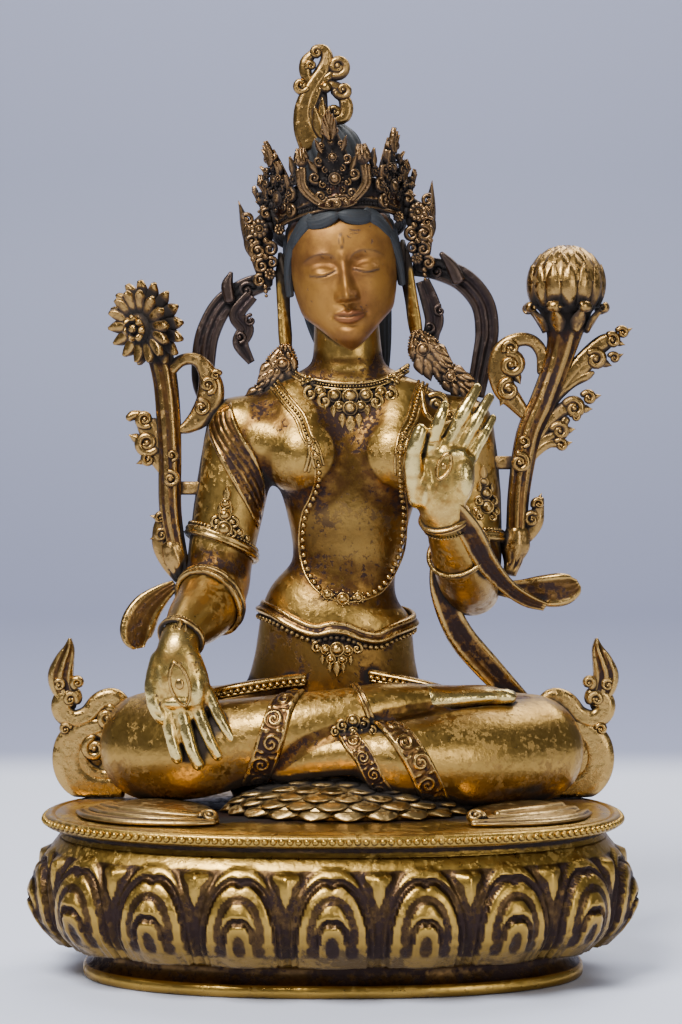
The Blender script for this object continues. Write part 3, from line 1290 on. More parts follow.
ear = {
    # on the head: x, y, z, half width, half depth
    "lobe": [
        [23.4, 3.6, 9, 2.6, 1.6], [25.0, 3.0, 4, 3.8, 2.0], [26.0, 2.2, -5, 3.4, 2.0],
        [26.6, 1.4, -14, 3.2, 1.9], [27.0, 0.8, -23, 3.4, 2.0], [27.4, -0.4, -30, 2.8, 1.8],
    ],
    "rim": [
        [24.6, -1.0, 2, 0.9, 0.9], [25.4, 0.2, 8, 1.0, 1.0], [25.6, 4.4, 10.6, 1.1, 1.1],
        [26.2, 6.6, 6, 1.1, 1.1], [27.0, 5.4, -4, 1.0, 1.0], [28.0, 3.6, -16, 0.9, 0.9],
    ],
    "grooveDepth": 0.7,
}


def buildEars():
    parts = []
    for flip in (-1, 1):
        outerHalf = lambda turn: np.sin(turn) * flip < 0
        groove = lambda share, turn: (
            -ear["grooveDepth"] * bump(np.cos(turn), 0.5) * outerHalf(turn) * ramp(share, 0.1, 0.3)
        )
        side = (flip * 0.75, -0.66, 0)
        parts.append(sweep(headRows(ear["lobe"], flip), side=side, around=24, count=40, relief=groove))
        parts.append(sweep(headRows(ear["rim"], flip), around=16, count=60))
    addPiece("longEars", parts, metals["figure"], "gilt_copper", "figure")


# Ornament: made facing the viewer in an upright plane, then turned and set in place

def spins(turn, first, second):
    # a matrix for each angle that turns the axis first towards the axis second
    matrices = np.tile(np.eye(3), (len(turn), 1, 1))
    matrices[:, first, first] = matrices[:, second, second] = np.cos(turn)
    matrices[:, second, first] = np.sin(turn)
    matrices[:, first, second] = -np.sin(turn)
    return matrices


def turned(parts, origin=(0, 0, 0), turn=0.0, lean=0.0, roll=0.0):
    # rolled about y, leaned about x, turned about z and moved, all angles in degrees
    angles = (roll, 2, 0), (lean, 1, 2), (turn, 0, 1)
    rollY, leanX, turnZ = [spins(np.radians([angle]), *axes)[0] for angle, *axes in angles]
    matrix = turnZ @ leanX @ rollY
    return [(verts @ matrix.T + origin, faces) for verts, faces in parts]


def onHeadParts(parts):
    return [(onHead(verts), faces) for verts, faces in parts]


def facing(line):
    # the side that a strap's width lies on where its face looks towards the viewer
    along = tangents(line[:, :3])
    return np.cross(np.broadcast_to((0.0, -1.0, 0.0), along.shape), along)


def planar(rows, y, thick, count=60):
    # rows across, up, half width and perhaps depth, as a strap's rows facing the viewer
    rows = np.asarray(rows, float)
    depth = rows[:, 3] if rows.shape[1] > 3 else 0 * rows[:, 0]
    line = smoothLine(np.column_stack([rows[:, 0], y + depth, rows[:, 1], rows[:, 2]]), count)
    return np.column_stack([line, np.full(count, thick), facing(line)])


def tendril(rows, y=0.0, thick=1.6, flutes=0.0, around=12, step=1.05):
    # a strand with a rounded section, and a groove along its face where flutes isn't 0
    line = planar(rows, y, thick)
    line[:, [3, 4]] = line[:, [4, 3]]
    line[:, 5:8] = (0, 1, 0)
    groove = lambda share, turn: -flutes * bump(np.sin(turn), 0.35) * (np.cos(turn) < 0)
    count = max(8, int(lineLength(line) / step))
    return sweep(line, around=around, count=count, relief=groove if flutes else None)


def volute(x, z, radius, start, turns, halfWidth, y=0.0, thick=1.5, around=7):
    # a strand that coils in, its radius shrinking evenly, with a round bead in its eye
    count = max(10, int(abs(turns) * 15))
    t = np.linspace(0, 1, count)
    angle = np.radians(start + 360 * turns * t)
    r = radius * (1 - 0.66 * t)
    rows = np.column_stack([
        x + r * np.cos(angle), y - 0.35 * thick * t, z + r * np.sin(angle),
        thick * (1 - 0.25 * t), halfWidth * (1 - 0.4 * t),
    ])
    eye = ball((x, y - 0.55 * thick, z), (radius * 0.36, thick * 0.9, radius * 0.36), 8, 5)
    return [sweep(rows, side=(0, 1, 0), around=around, count=count), eye]


def coil(flip, x, z, radius, start, turns, *rest):
    # a volute, mirrored across the middle where flip is -1
    return volute(flip * x, z, radius, start if flip > 0 else 180 - start, flip * turns, *rest)


def circle(x, y, z, radius, count, offset=0.0):
    # places round the y axis
    turn = (np.arange(count) + offset) / count * 2 * np.pi
    return np.stack([x + radius * np.cos(turn), y + 0 * turn, z + radius * np.sin(turn)], 1)


def ring(x, z, radius, tube, y=0.0):
    rows = np.column_stack([circle(x, y, z, radius, 18), np.full((18, 2), tube)])
    return sweep(rows, side=(0, 1, 0), around=6, count=18, closed=True)


def gem(x, z, radius, y=0.0, beadCount=0):
    # a round stone in a rim, and perhaps a ring of beads round that
    parts = [
        ball((x, y, z), (radius, radius * 0.75, radius), 12, 8),
        ring(x, z, radius * 1.1, radius * 0.24, y - 0.1 * radius),
    ]
    if beadCount:
        parts.append(beads(circle(x, y, z, 1.62 * radius, beadCount), radius * 0.27, 6, 4))
    return parts


def rosette(x, z, radius, y=0.0, petals=8):
    # a flower of round petals on a disc, with a bead in the middle
    return [
        ball((x, y + 0.3, z), (radius * 0.92, radius * 0.3, radius * 0.92), 14, 5),
        beads(circle(x, y, z, 0.66 * radius, petals, 0.5), radius * 0.36, 7, 5),
        ball((x, y - 0.12 * radius, z), (radius * 0.32, radius * 0.42, radius * 0.32), 10, 7),
    ]


def leafBlade(length, halfWidth, thick=0.9, curl=0.0, ridge=0.5, count=12, columns=6):
    # a pointed leaf from the origin upwards, with a ridge down its middle; its tip curls forward
    share = np.linspace(0, 1, 7)
    wide = halfWidth * np.array([0.45, 0.8, 1.0, 0.95, 0.75, 0.42, 0.08])
    rows = np.column_stack([0 * share, -curl * share**2, share * length, wide, thick + 0 * share])
    crest = lambda run, across: ridge * bump(across, 0.3 * halfWidth)
    return strap(rows, count, columns, (-1, 0, 0), crest)


def copies(part, matrices, origins):
    # one part at many places, each with its own three by three matrix
    verts, faces = part
    return repeated(np.einsum("nij,vj->nvi", matrices, verts) + np.asarray(origins)[:, None], faces)


def frontMap(points):
    # how far forward the skin comes at each place across and up, on a grid
    cell = 1.75
    low = points[:, [0, 2]].min(0) - 4 * cell
    shape = np.ceil((points[:, [0, 2]].max(0) - low) / cell).astype(int) + 4
    spot = (points[:, [0, 2]] - low) / cell
    at = (spot + 0.5).astype(int)
    nearest = np.full(shape, 1e6)
    np.minimum.at(nearest, (at[:, 0], at[:, 1]), points[:, 1])
    close = points[:, 1] < nearest[at[:, 0], at[:, 1]] + 1.6
    total, count = np.zeros(shape), np.zeros(shape)
    np.add.at(total, (at[close, 0], at[close, 1]), points[close, 1])
    np.add.at(count, (at[close, 0], at[close, 1]), 1)
    for _ in range(8):
        grown, number = [
            sum(np.roll(g, (i, j), (0, 1)) for i in (-1, 0, 1) for j in (-1, 0, 1)) for g in (total, count)
        ]
        empty = (count == 0) & (number > 0)
        total[empty], count[empty] = (grown / np.maximum(number, 1))[empty], 1
    depth = np.where(count > 0, total / np.maximum(count, 1), 60)
    return low, cell, depth


def frontOf(x, z):
    low, cell, depth = skinFront
    spot = np.stack([(np.asarray(x, float) - low[0]) / cell, (np.asarray(z, float) - low[1]) / cell])
    last = np.array(depth.shape).reshape(2, *[1] * (spot.ndim - 1)) - 2
    i, j = np.clip(np.floor(spot).astype(int), 0, last)
    f, g = spot[0] - i, spot[1] - j
    rows = depth[i, j] * (1 - g) + depth[i, j + 1] * g, depth[i + 1, j] * (1 - g) + depth[i + 1, j + 1] * g
    return rows[0] * (1 - f) + rows[1] * f


def draped(places, lift=0.0, count=120, closed=False):
    # a smooth line through places across and up, laid on the front of the skin
    rows = np.asarray(places, float)
    line = smoothLine(np.column_stack([rows[:, 0], 0 * rows[:, 0], rows[:, 1]]), count, closed)
    y = frontOf(line[:, 0], line[:, 2])
    for _ in range(3):
        y[1:-1] = (y[:-2] + 2 * y[1:-1] + y[2:]) / 4
    line[:, 1] = y - lift
    return line


def drapedBeads(places, radius, spacing=2.05, lift=0.3):
    line = draped(places, lift * radius)
    count = max(2, int(round(lineLength(line) / (radius * spacing))))
    return beads(smoothLine(line, count), radius)


def drapedCord(places, radius, lift=0.0):
    line = draped(places, lift)
    rows = np.column_stack([line, np.full((len(line), 2), radius)])
    return sweep(rows, side=(0, 1, 0), around=8, count=int(lineLength(line) / 1.2))


def drapedPatch(first, second, thick, count, columns, pattern):
    # a sheet between two lines on the skin: outer face out by thick and by pattern(run, across) in mm
    a, b = [draped(line, 0, count) for line in (first, second)]
    t = np.linspace(0, 1, columns + 1)[None]
    x = a[:, :1] * (1 - t) + b[:, :1] * t
    z = a[:, 2:] * (1 - t) + b[:, 2:] * t
    base = frontOf(x, z)
    run = runOf(a)[:, None]
    width = np.linalg.norm(a - b, axis=1)[:, None]
    edge = (1 - np.abs(2 * t - 1) ** 8) ** 0.5
    edge = edge * (1 - np.abs(np.linspace(-1, 1, count)[:, None]) ** 30) ** 0.5
    rise = thick * edge + pattern(run, (t - 0.5) * width) * edge
    top = np.stack([x, base - rise, z], -1)
    under = np.stack([x, base + 1.5, z], -1)
    return capped(np.concatenate([top, under[:, ::-1]], 1))


def runningScroll(halfWidth, pitch, height):
    # spirals in turn to either side of a band, joined by a wave: cosine of the angle less the radius
    def pattern(run, across):
        cell = np.round(run / pitch)
        lie = 1 - 2 * (cell % 2)
        dx = run - cell * pitch
        dy = across * lie + 0.12 * halfWidth
        r = np.hypot(dx, dy)
        reach = min(pitch * 0.5, halfWidth * 0.72)
        spiral = 0.5 + 0.5 * np.cos(r / reach * 4 * np.pi - np.arctan2(dy, dx))
        inside = 1 - ramp(r, reach * 0.85, reach * 1.05)
        rim = bump(np.abs(across) - 0.82 * halfWidth, 0.1 * halfWidth)
        beside = bump(across * lie - 0.45 * halfWidth, 0.3 * halfWidth)
        leaf = bump(np.abs(dx) - pitch * 0.5, 0.16 * pitch) * beside
        return height * (spiral * inside + rim + 0.8 * leaf * (1 - inside))
    return pattern


# Crown

crown = {
    "bandHalf": 2.4,
    "bandThick": 1.2,
    "bandAxis": (0, 8.5, 0),  # the middle that the band runs round
    "steps": 72,  # points of the band's line
    "coils": [
        # on each leaf, as shares of its width and height: across, up, radius, then start and turns
        (0.66, 0.10, 0.26, 200, 1.2), (0.84, 0.30, 0.24, 250, 1.15), (0.52, 0.22, 0.16, 60, -1.0),
        (0.60, 0.47, 0.2, 250, 1.1), (0.36, 0.37, 0.14, 80, -1.0), (0.40, 0.63, 0.16, 260, 1.1),
        (0.24, 0.78, 0.13, 270, 1.0), (0.28, 0.14, 0.13, 90, -0.9),
    ],
    # beside the coils: length, half width, bend, across, up, roll
    "smallLeaves": [(0.2, 0.16, 1.5, 0.72, 0.34, 28), (0.18, 0.14, 1.2, 0.42, 0.55, 22)],
    # over and under the rosette beside each ear, in mm
    "sideCoils": [
        (34.6, 12.6, 3.4, 100, -1.2), (29.4, 12.8, 2.8, 60, 1.2), (33.6, 6.2, 2.8, 100, -1.1),
        (36.4, 17.0, 2.2, 30, 1.0), (29.2, 7.2, 2.2, 60, 1.1), (35.0, 0.4, 2.5, 110, -1.1),
        (37.4, 26.0, 2.3, 60, 1.0), (29.6, 27.4, 2.2, 120, -1.0),
    ],
    "plaque": [
        [-8, 0, 0, 0.6, 1], [-5, 0, 0.2, 2.2, 1.2], [0, 0, 0, 2.9, 1.4], [5, 0, 0.2, 2.2, 1.2],
        [8, 0, 0, 0.6, 1],
    ],
    # on the wall between the leaves: turn from the front, height, radius
    "wallRosettes": [
        (-33, 13, 2.6), (-24, 6.6, 1.9), (-40, 7.4, 2.2), (-48, 16, 1.8), (-73, 11, 2.4), (-76, 4.6, 2.0),
        (-98, 5, 2.4), (-112, 2, 2.2),
    ],
    # turn from the front, half width, height, lean, out, drop
    "leaves": [
        [0, 9.5, 38, 8, 0.4, 0], [-57, 11.5, 33, 6, 0.4, 0], [57, 11.5, 33, 6, 0.4, 0],
        [-84, 8, 20, 12, 2.0, 0], [84, 8, 20, 12, 2.0, 0],
    ],
    "blades": [[-88, 5, 25, 10, 10.6, 10.6], [88, 5, 25, 10, 10.6, 10.6]],
}


def bandAt(turn, out=0.0):
    turn = np.asarray(turn, float)
    x, y = (25.6 + out) * np.sin(turn), 8.5 - (26 + out) * np.cos(turn)
    return np.stack([x, y, 20.5 + 6.5 * np.cos(turn)], -1)


def leafOnBand(parts, turn, lean, out, drop):
    foot = bandAt(np.radians(turn), out) - [0, 0, drop]
    return onHeadParts(turned(parts, foot, turn, lean))


def crownLeaf(w, h):
    # a jewelled leaf: plate, three stones one over the other, pairs of coils and a bud at the tip
    share = np.linspace(0, 1, 7)
    wide = w * np.array([0.85, 1.02, 0.98, 0.8, 0.58, 0.34, 0.08])
    plate = np.column_stack([0 * share, 0.8 + 0 * share, -2 + share * (h - 2), wide, 0.8 + 0 * share])
    parts = [strap(plate, 20, 6, (-1, 0, 0))]
    parts += gem(0, h * 0.27, w * 0.22, -1.4, 12)
    parts += gem(0, h * 0.5, w * 0.15, -1.6, 8)
    parts += gem(0, h * 0.66, w * 0.11, -1.5)
    parts += gem(0, h * 0.07, w * 0.11, -1.3)
    for flip in (-1, 1):
        for x, z, r, start, turns in crown["coils"]:
            parts += coil(flip, x * w, z * h, r * w, start, turns, r * w * 0.42, -1.0, 1.3)
        for length, half, bend, x, z, roll in crown["smallLeaves"]:
            leaf = leafBlade(h * length, w * half, 0.7, bend)
            parts += turned([leaf], (flip * x * w, -1, h * z), roll=flip * roll)
    for k, (z, spread) in enumerate([(0.68, 14), (0.74, 9), (0.80, 0)]):
        for flip in (-1, 1):
            petal = leafBlade(h * (0.24 - 0.02 * k), w * 0.17, 0.8, 0.6)
            parts += turned([petal], (flip * 0.05 * w, -1.2 - 0.25 * (2 - k), z * h), roll=flip * spread)
    return parts


def flankBud(x, z, radius):
    # a small bud in two tiers of petals on a curved stem that springs from the leaf's foot
    flip = np.sign(x)
    stem = [[flip * 3, -0.5, 1.1], [x * 0.6, z * 0.12, 1.3], [x * 0.98, z * 0.42, 1.4], [x, z * 0.8, 1.7]]
    parts = [tendril(stem, -0.8, 1.5, 0.3, step=0.7)]
    parts.append(tendril([[p + flip * 1.7, q - 0.6, w * 0.7] for p, q, w in stem], -0.4, 1.2, step=0.7))
    parts.append(ball((x, -1.0, z), (radius, radius * 0.9, radius * 1.25), 12, 8))
    turn = np.arange(7) / 7 * 2 * np.pi
    for level, tilt, length in ((-0.55, 10, 1.7), (0.0, 16, 1.5)):
        petal = leafBlade(radius * length, radius * 0.44, 0.45, -0.4)
        petal = turned([petal], (0, -radius * 0.86, 0), lean=-tilt)[0]
        origins = np.tile([x, -1.0, z + level * radius], (7, 1))
        parts.append(copies(petal, spins(turn + level, 0, 1), origins))
    return parts


def sideCluster(flip):
    # what hangs over each ear: a large rosette, coils above and below it, and a short string of drops
    parts = [*rosette(flip * 33, 21.5, 4.3, -2.4, 10), *rosette(flip * 24.6, 20.2, 2.4, -6.2, 8)]
    parts += rosette(flip * 30.5, 2.6, 2.6, -2.6, 8)
    for x, z, r, start, turns in crown["sideCoils"]:
        parts += coil(flip, x, z, r, start, turns, r * 0.44, -1.6, 1.6)
    back = np.array([[30, 26, 3.2], [33, 20, 5.6], [33.6, 12, 4.6], [32.6, 4, 3.8], [32, -1, 2.2]])
    parts.append(tendril(back * [flip, 1, 1], 1.6, 2.2, around=18))
    parts.append(beads([[flip * 33, -3.2, z] for z in (-2.4, -4.4, -6.2)], [1.2, 1.0, 0.8]))
    for x, z in ((30.8, 16.4), (36.8, 9.4), (31.6, 9.8), (37.0, 22.6)):
        parts += gem(flip * x, z, 0.9, -3.4)
    return parts


def buildCrown():
    steps = crown["steps"]
    turn = np.arange(steps) / steps * 2 * np.pi
    band = bandAt(turn)
    outer = unit(band - crown["bandAxis"]) * [1, 1, 0]
    sizes = np.tile([crown["bandHalf"], crown["bandThick"]], (steps, 1))
    rows = np.concatenate([onHead(bandAt(turn, 0.4)), sizes, np.cross(outer, tangents(band, True))], 1)
    parts = [strap(rows, 160, 6, closed=True)]
    for drop, radius, cord in ((1.5, 0.72, False), (-0.1, 0.62, False), (-2.0, 0.9, True)):
        line = bandAt(turn, 1.8) + [0, 0, drop]
        if cord:
            rows = np.column_stack([onHead(line), np.full((steps, 2), radius)])
            parts.append(sweep(rows, around=8, count=160, closed=True))
        else:
            parts.append(beadString(onHead(line), radius, 2.1, closed=True))
    for turnAt, w, h, lean, out, drop in crown["leaves"]:
        parts += leafOnBand(crownLeaf(w, h), turnAt, lean, out, drop)
    for x, z, radius in ((-12.6, 19.6, 2.9), (12.2, 18.4, 3.2)):
        parts += leafOnBand(flankBud(x, z, radius), 0, 8, 0.6, 0)
    for side in (-57, 57):
        parts += leafOnBand(flankBud(9.4 * np.sign(side), 17, 2.2), side, 6, 0.6, 0)
    for turnAt, w, h, lean, out, drop in crown["blades"]:
        inner = turned([leafBlade(h * 0.6, w * 0.6, 1.2)], (0, -1.2, 0))
        blade = [leafBlade(h, w * 0.52, 1.6, 0, 0.7), *inner]
        blade += gem(0, h * 0.3, 1.3, -2.6) + gem(0, h * 0.5, 1.0, -2.2)
        blade = turned(blade, turn=-turnAt)
        parts += leafOnBand(blade, turnAt, lean, out, drop)
    # a wall of scrolls fills in between the leaves, with a row of rosettes and stones on it
    arc = np.radians(np.linspace(-112, 112, 90))
    wallAt = bandAt(arc, 1.2) + np.stack([0 * arc, 0 * arc, 7.2 - 2.4 * np.abs(arc)], 1)
    outer = unit(wallAt - crown["bandAxis"]) * [1, 1, 0]
    wallHalf = 5.2
    sizes = np.tile([wallHalf, 1.1], (len(arc), 1))
    rows = np.concatenate([wallAt, sizes, np.cross(outer, tangents(wallAt))], 1)
    parts += onHeadParts([strap(rows, 180, 18, pattern=runningScroll(wallHalf, 7.4, 0.9))])
    for turnAt, up, r in crown["wallRosettes"]:
        for flip in (-1, 1):
            parts += leafOnBand(rosette(0, up, r, -1.8, 8), flip * turnAt, 6, 1.6, 0)
            flame = turned([leafBlade(r * 3.2, r * 0.8, 0.8, 0.8)], (0, -0.9, up + r * 0.5))
            parts += leafOnBand(flame, flip * turnAt, 6, 1.6, 0)
    # the lozenge at the front, with stones
    plaque = [strap(crown["plaque"], 40, 8, (0, 0, -1))]
    plaque += gem(0, 0, 1.3, -1.6) + gem(-3.8, 0.1, 1.0, -1.3) + gem(3.8, 0.1, 1.0, -1.3)
    parts += leafOnBand(plaque, 0, 0, 2.4, 0.2)
    for flip in (-1, 1):
        parts += onHeadParts(sideCluster(flip))
    addPiece("jewelledCrown", parts, metals["crown"], "dark_copper", "crown")


# Finial on the knot of hair

finial = {
    "fullness": 1.3,
    "leaves": [
        # half thickness, groove, then points as across, up, half width
        [2.6, 0.5, [-8.5, 270, 4.6], [-11.8, 276.6, 3.6], [-12.4, 284, 3.0], [-10.6, 290.4, 2.6],
         [-7.4, 296, 2.4], [-4.0, 301, 2.4], [-2.6, 305.6, 2.1], [-4.0, 309.2, 1.6], [-7.0, 309.8, 1.1]],
        [2.2, 0.4, [-6, 273, 2.4], [-8.4, 281, 2.2], [-7.6, 289, 2.0], [-4.6, 295.4, 1.8],
         [-0.6, 298.6, 1.6]],
        [1.8, 0.0, [-9.6, 295, 1.4], [-11.4, 299.6, 2.0], [-11.2, 304, 2.0], [-8.6, 307.4, 1.4]],
        [2.0, 0.0, [-5.4, 292.4, 1.4], [-1.4, 294.4, 1.8], [2.0, 293.4, 1.8]],
        [2.2, 0.3, [0.4, 292, 1.4], [4.0, 289.4, 1.9], [5.4, 285.4, 2.3], [4.4, 281.6, 2.2],
         [1.4, 280.2, 1.7]],
        [1.6, 0.0, [-4.4, 276, 1.6], [-3.6, 282, 1.6], [-5.6, 288, 1.2]],
    ],
    "coils": [
        # across, up, radius, start, turns, half width
        [1.8, 302.0, 3.7, 250, 1.25, 1.25], [4.0, 292.2, 2.8, 200, 1.1, 1.1],
        [-13.2, 294.2, 2.6, 330, -1.1, 1.0], [-6.8, 307.6, 2.0, 60, 1.0, 0.9],
        [0.6, 283.2, 2.4, 250, -1.0, 1.0], [-9.2, 302.2, 1.7, 200, -1.0, 0.8],
    ],
}


def buildFinial():
    parts = []
    for thick, groove, *points in finial["leaves"]:
        points = [[x, z, w * finial["fullness"]] for x, z, w in points]
        parts.append(tendril(points, 38, thick, groove, around=20))
    for x, z, r, start, turns, half in finial["coils"]:
        parts += volute(x, z, r * 1.1, start, turns, half * 1.6, y=37.2, thick=2.0, around=12)
    parts.append(ball((-6.6, 38.4, 286), (4.4, 1.6, 15), 24, 16))
    parts.append(ball((-3.0, 36.4, 293.4), (2.5, 2.2, 2.5), 16, 12))
    for roll, up in ((-14, 272), (12, 272), (0, 275)):
        parts += turned([leafBlade(14, 3.0, 1.3, 1.0, 0.6)], (-4.4, 36.0, up), roll=roll)
    addPiece("knotFinial", parts, metals["stem"], "gilt_copper", "topknot_finial")


# Ribbons beside the head

ribbons = {
    "right": {
        "node": "right_ribbon",
        "fall": [[-27, 214, 3.8], [-36, 211, 4.6], [-46, 204, 4.8], [-52, 193, 5], [-54, 182, 5],
                 [-54, 171, 4.6], [-50, 161, 4]],
        "fold": [[-34, 208, 3], [-40, 200, 3.4], [-36.5, 194, 3.6], [-38.5, 188, 3.4], [-34, 180, 1.6]],
        "bud": [[-43, 206, 2.4], [-44, 212, 2.6], [-42.5, 217, 1.0]],
    },
    "left": {
        "node": "left_ribbon",
        "fall": [[33, 220, 3.8], [43, 219, 4.6], [54, 214.5, 5], [62, 205, 5], [64, 193, 5], [62, 181, 4.4],
                 [59, 166, 4]],
        "fold": [[37, 214, 3], [40, 206, 3.8], [42, 198, 4], [41, 192, 3.4], [41.5, 185, 1.6]],
        "bud": [[52, 214, 3], [49, 220, 2.6], [45, 225, 1.2]],
    },
}


def grooves(places, depth, rim=0.5):
    # grooves along a strap at shares of its half width, and a raised rim
    def pattern(run, across):
        half = np.abs(across).max(1, keepdims=True)
        share = across / half
        cut = sum(bump(share - at, 0.35 / 3) for at in places)
        return rim * bump(np.abs(share) - 0.88, 0.1) - depth * cut
    return pattern


def buildRibbons():
    for name, r in ribbons.items():
        parts = [
            strap(planar(r["fall"], 43, 1.5, 90), 110, 20, pattern=grooves((-0.35, 0.25), 0.9)),
            strap(planar(r["fold"], 40.6, 1.3), 60, 14, pattern=grooves((0.0,), 0.7, 0.35)),
            tendril(r["bud"], 40, 2.0, 0.4),
        ]
        for flip in (-1, 1):
            x, z = r["fold"][2][:2]
            parts += volute(x + flip * 2.2, z + flip * 3.4, 2.4, 90 * flip, 1.0, 0.9, 39.4, 1.3)
        tip = r["fall"][1]
        parts += volute(tip[0], tip[1] - 1, 3.4, 30, 1.1, 1.1, 41.6, 1.4)
        addPiece(name + "RibbonFall", parts, metals["ribbon"], "dark_copper", r["node"])


# Lotuses

def flutedStem(rows, strands, twist=0.0):
    # a stem of parallel strands: the section swells over each
    flutes = lambda share, turn: 0.55 * np.abs(np.cos((turn + twist * share) * strands / 2)) ** 0.6 - 0.35
    return sweep(rows, side=(0, 1, 0), around=56, count=72, relief=flutes, cap=0.1)


openLotus = {
    "husk": [[-63.8, 31.6, 92, 3.4, 2.4], [-65, 31.8, 98, 4.6, 4.8], [-66.4, 32, 104, 4.6, 4.6]],
    "centre": (-76.6, 29, 195.5),
    "fullness": 1.4,
    "turn": -34,
    "lean": 14,
    # ring: count, start radius, length, half width, forward, tilt
    "rings": [
        [16, 3.6, 14.6, 3.1, 0.0, -12], [14, 2.8, 12.8, 3.1, 2.6, 2], [7, 0.8, 6.4, 2.6, 4.8, 26],
        [5, 0.2, 4.4, 2.2, 6.0, 56],
    ],
    "stem": [
        [-60.8, 31, 87, 2.6, 2.6], [-63.6, 32, 98, 3.4, 3.6], [-67.2, 32, 118, 4.2, 4.5],
        [-67.4, 32, 142, 4.4, 4.8], [-68, 32, 158, 4.4, 5.0], [-69.4, 33, 173, 4.4, 5.0],
        [-72.6, 34, 188, 4.8, 5.4],
    ],
    "leaves": [
        [2.2, 0.4, [-66.5, 128, 1.8], [-70.2, 138, 2.4], [-73.6, 146, 3.0], [-76.4, 152.4, 3.0],
         [-79, 157, 2.2]],
        [1.8, 0.3, [-66.4, 134, 1.6], [-69.8, 143, 1.7], [-72.4, 150, 1.6], [-74.4, 155.6, 1.4]],
        [1.6, 0.0, [-68, 132, 1.4], [-72.4, 138, 1.5], [-75.6, 140.6, 1.2]],
        [2.4, 0.5, [-64, 151.6, 1.0], [-59.6, 153.6, 2.2], [-54.8, 157.6, 3.4], [-51.2, 163.4, 4.0],
         [-50.4, 170, 3.8], [-52.4, 176.6, 2.6], [-56.6, 181, 1.9], [-62.6, 180.6, 1.8], [-68, 176, 2.0]],
        [2.2, 0.4, [-64.2, 91, 1.6], [-68.6, 97.2, 2.0], [-71.6, 104, 2.2], [-71.8, 111, 2.0],
         [-70.8, 116, 1.4]],
        [1.8, 0.0, [-80, 158.5, 1.2], [-82.6, 158, 1.5], [-84.2, 157, 1.2]],
    ],
    "coils": [
        [-77.6, 156.4, 3.0, 300, -1.2, 1.2], [-76.6, 146.6, 4.0, 320, -1.3, 1.5],
        [-76.2, 139.8, 2.4, 60, 1.1, 1.0], [-51.6, 170.4, 3.0, 280, 1.2, 1.2],
        [-54.2, 161.2, 2.8, 100, -1.2, 1.2], [-48.4, 174.4, 1.8, 30, 1.0, 0.9],
        [-71.2, 115.6, 2.0, 40, 1.0, 0.9], [-70.8, 108.6, 2.3, 60, 1.1, 1.0], [-66.4, 96, 2.2, 30, 1.0, 1.0],
    ],
    "onStem": [[-66.8, 131.8, 3.2, 100, -1.2, 1.2], [-66.2, 141.6, 2.2, 280, 1.0, 0.9]],
}


def petalRing(petal, number, startRadius, forward, tilt, offset):
    # petals round the y axis, each springing at startRadius and tilted towards the viewer
    part = turned([petal], (0, -forward, startRadius), lean=tilt)[0]
    turn = (np.arange(number) + offset) / number * 2 * np.pi
    return copies(part, spins(turn, 2, 0), np.zeros((number, 3)))


def lotusLeaves(l):
    depth = 32  # of the stems, front to back
    parts = []
    for thick, groove, *points in l["leaves"]:
        points = [[x, z, w * l["fullness"]] for x, z, w in points]
        parts.append(tendril(points, depth, thick, groove, around=16, step=1.1))
    for x, z, r, start, turns, half in l["coils"]:
        half *= l["fullness"]
        parts += volute(x, z, r * 1.12, start, turns, half, y=depth - 0.8, thick=2.1, around=10)
        # a leaf lobe breaks out of the back of each coil
        away = start + 360 * turns * 0.35
        lobe = turned([leafBlade(r * 1.25, r * 0.5, 0.9, -0.6, 0.6)], roll=90 - away)
        foot = (x + 0.8 * r * np.cos(np.radians(away)), depth - 0.4, z + 0.8 * r * np.sin(np.radians(away)))
        parts += turned(lobe, foot)
    for small in l["onStem"]:
        parts += volute(*small, y=depth - 4.6, thick=1.4, around=12)
    return parts


def strut(x1, x2, y, z):
    return sweep([[x1, y, z, 2, 2.8], [x2, y, z, 2, 2.8]], side=(0, 1, 0), around=20, count=8, power=4)


def stemFoot(rows):
    # the husk that a stem springs from
    return sweep(rows, side=(0, 1, 0), around=36, count=20, relief=strandsOf(6, 0.5))


def buildOpenLotus():
    l = openLotus
    parts = [flutedStem(l["stem"], 8, 0.6)]
    flower = [ball((0, -3, 0), (6.4, 5.6, 6.4), 24, 16), ball((0, 2, 0), (9.5, 5, 9.5), 24, 12)]
    for k, (number, start, length, half, forward, tilt) in enumerate(l["rings"]):
        share = np.linspace(0, 1, 8)
        wide = half * np.array([0.42, 0.66, 0.86, 0.97, 1.0, 0.92, 0.68, 0.24])
        rows = np.column_stack([0 * share, -2.2 * share**2, share * length, wide, 1.7 * (1 - 0.3 * share)])
        faceted = lambda run, across: 1.0 * (1 - (np.abs(across) / half) ** 1.6) + 0.0 * run
        petal = strap(rows, 18, 8, (-1, 0, 0), faceted, bend=-0.2)
        flower.append(petalRing(petal, number, start, forward, tilt, 0.5 * (k % 2)))
    parts += turned(flower, l["centre"], l["turn"], l["lean"])
    parts += lotusLeaves(l)
    parts.append(strut(-66, -49, 34, 128))
    parts.append(stemFoot(l["husk"]))
    addPiece("openLotus", parts, metals["stem"], "gilt_copper", "right_lotus")


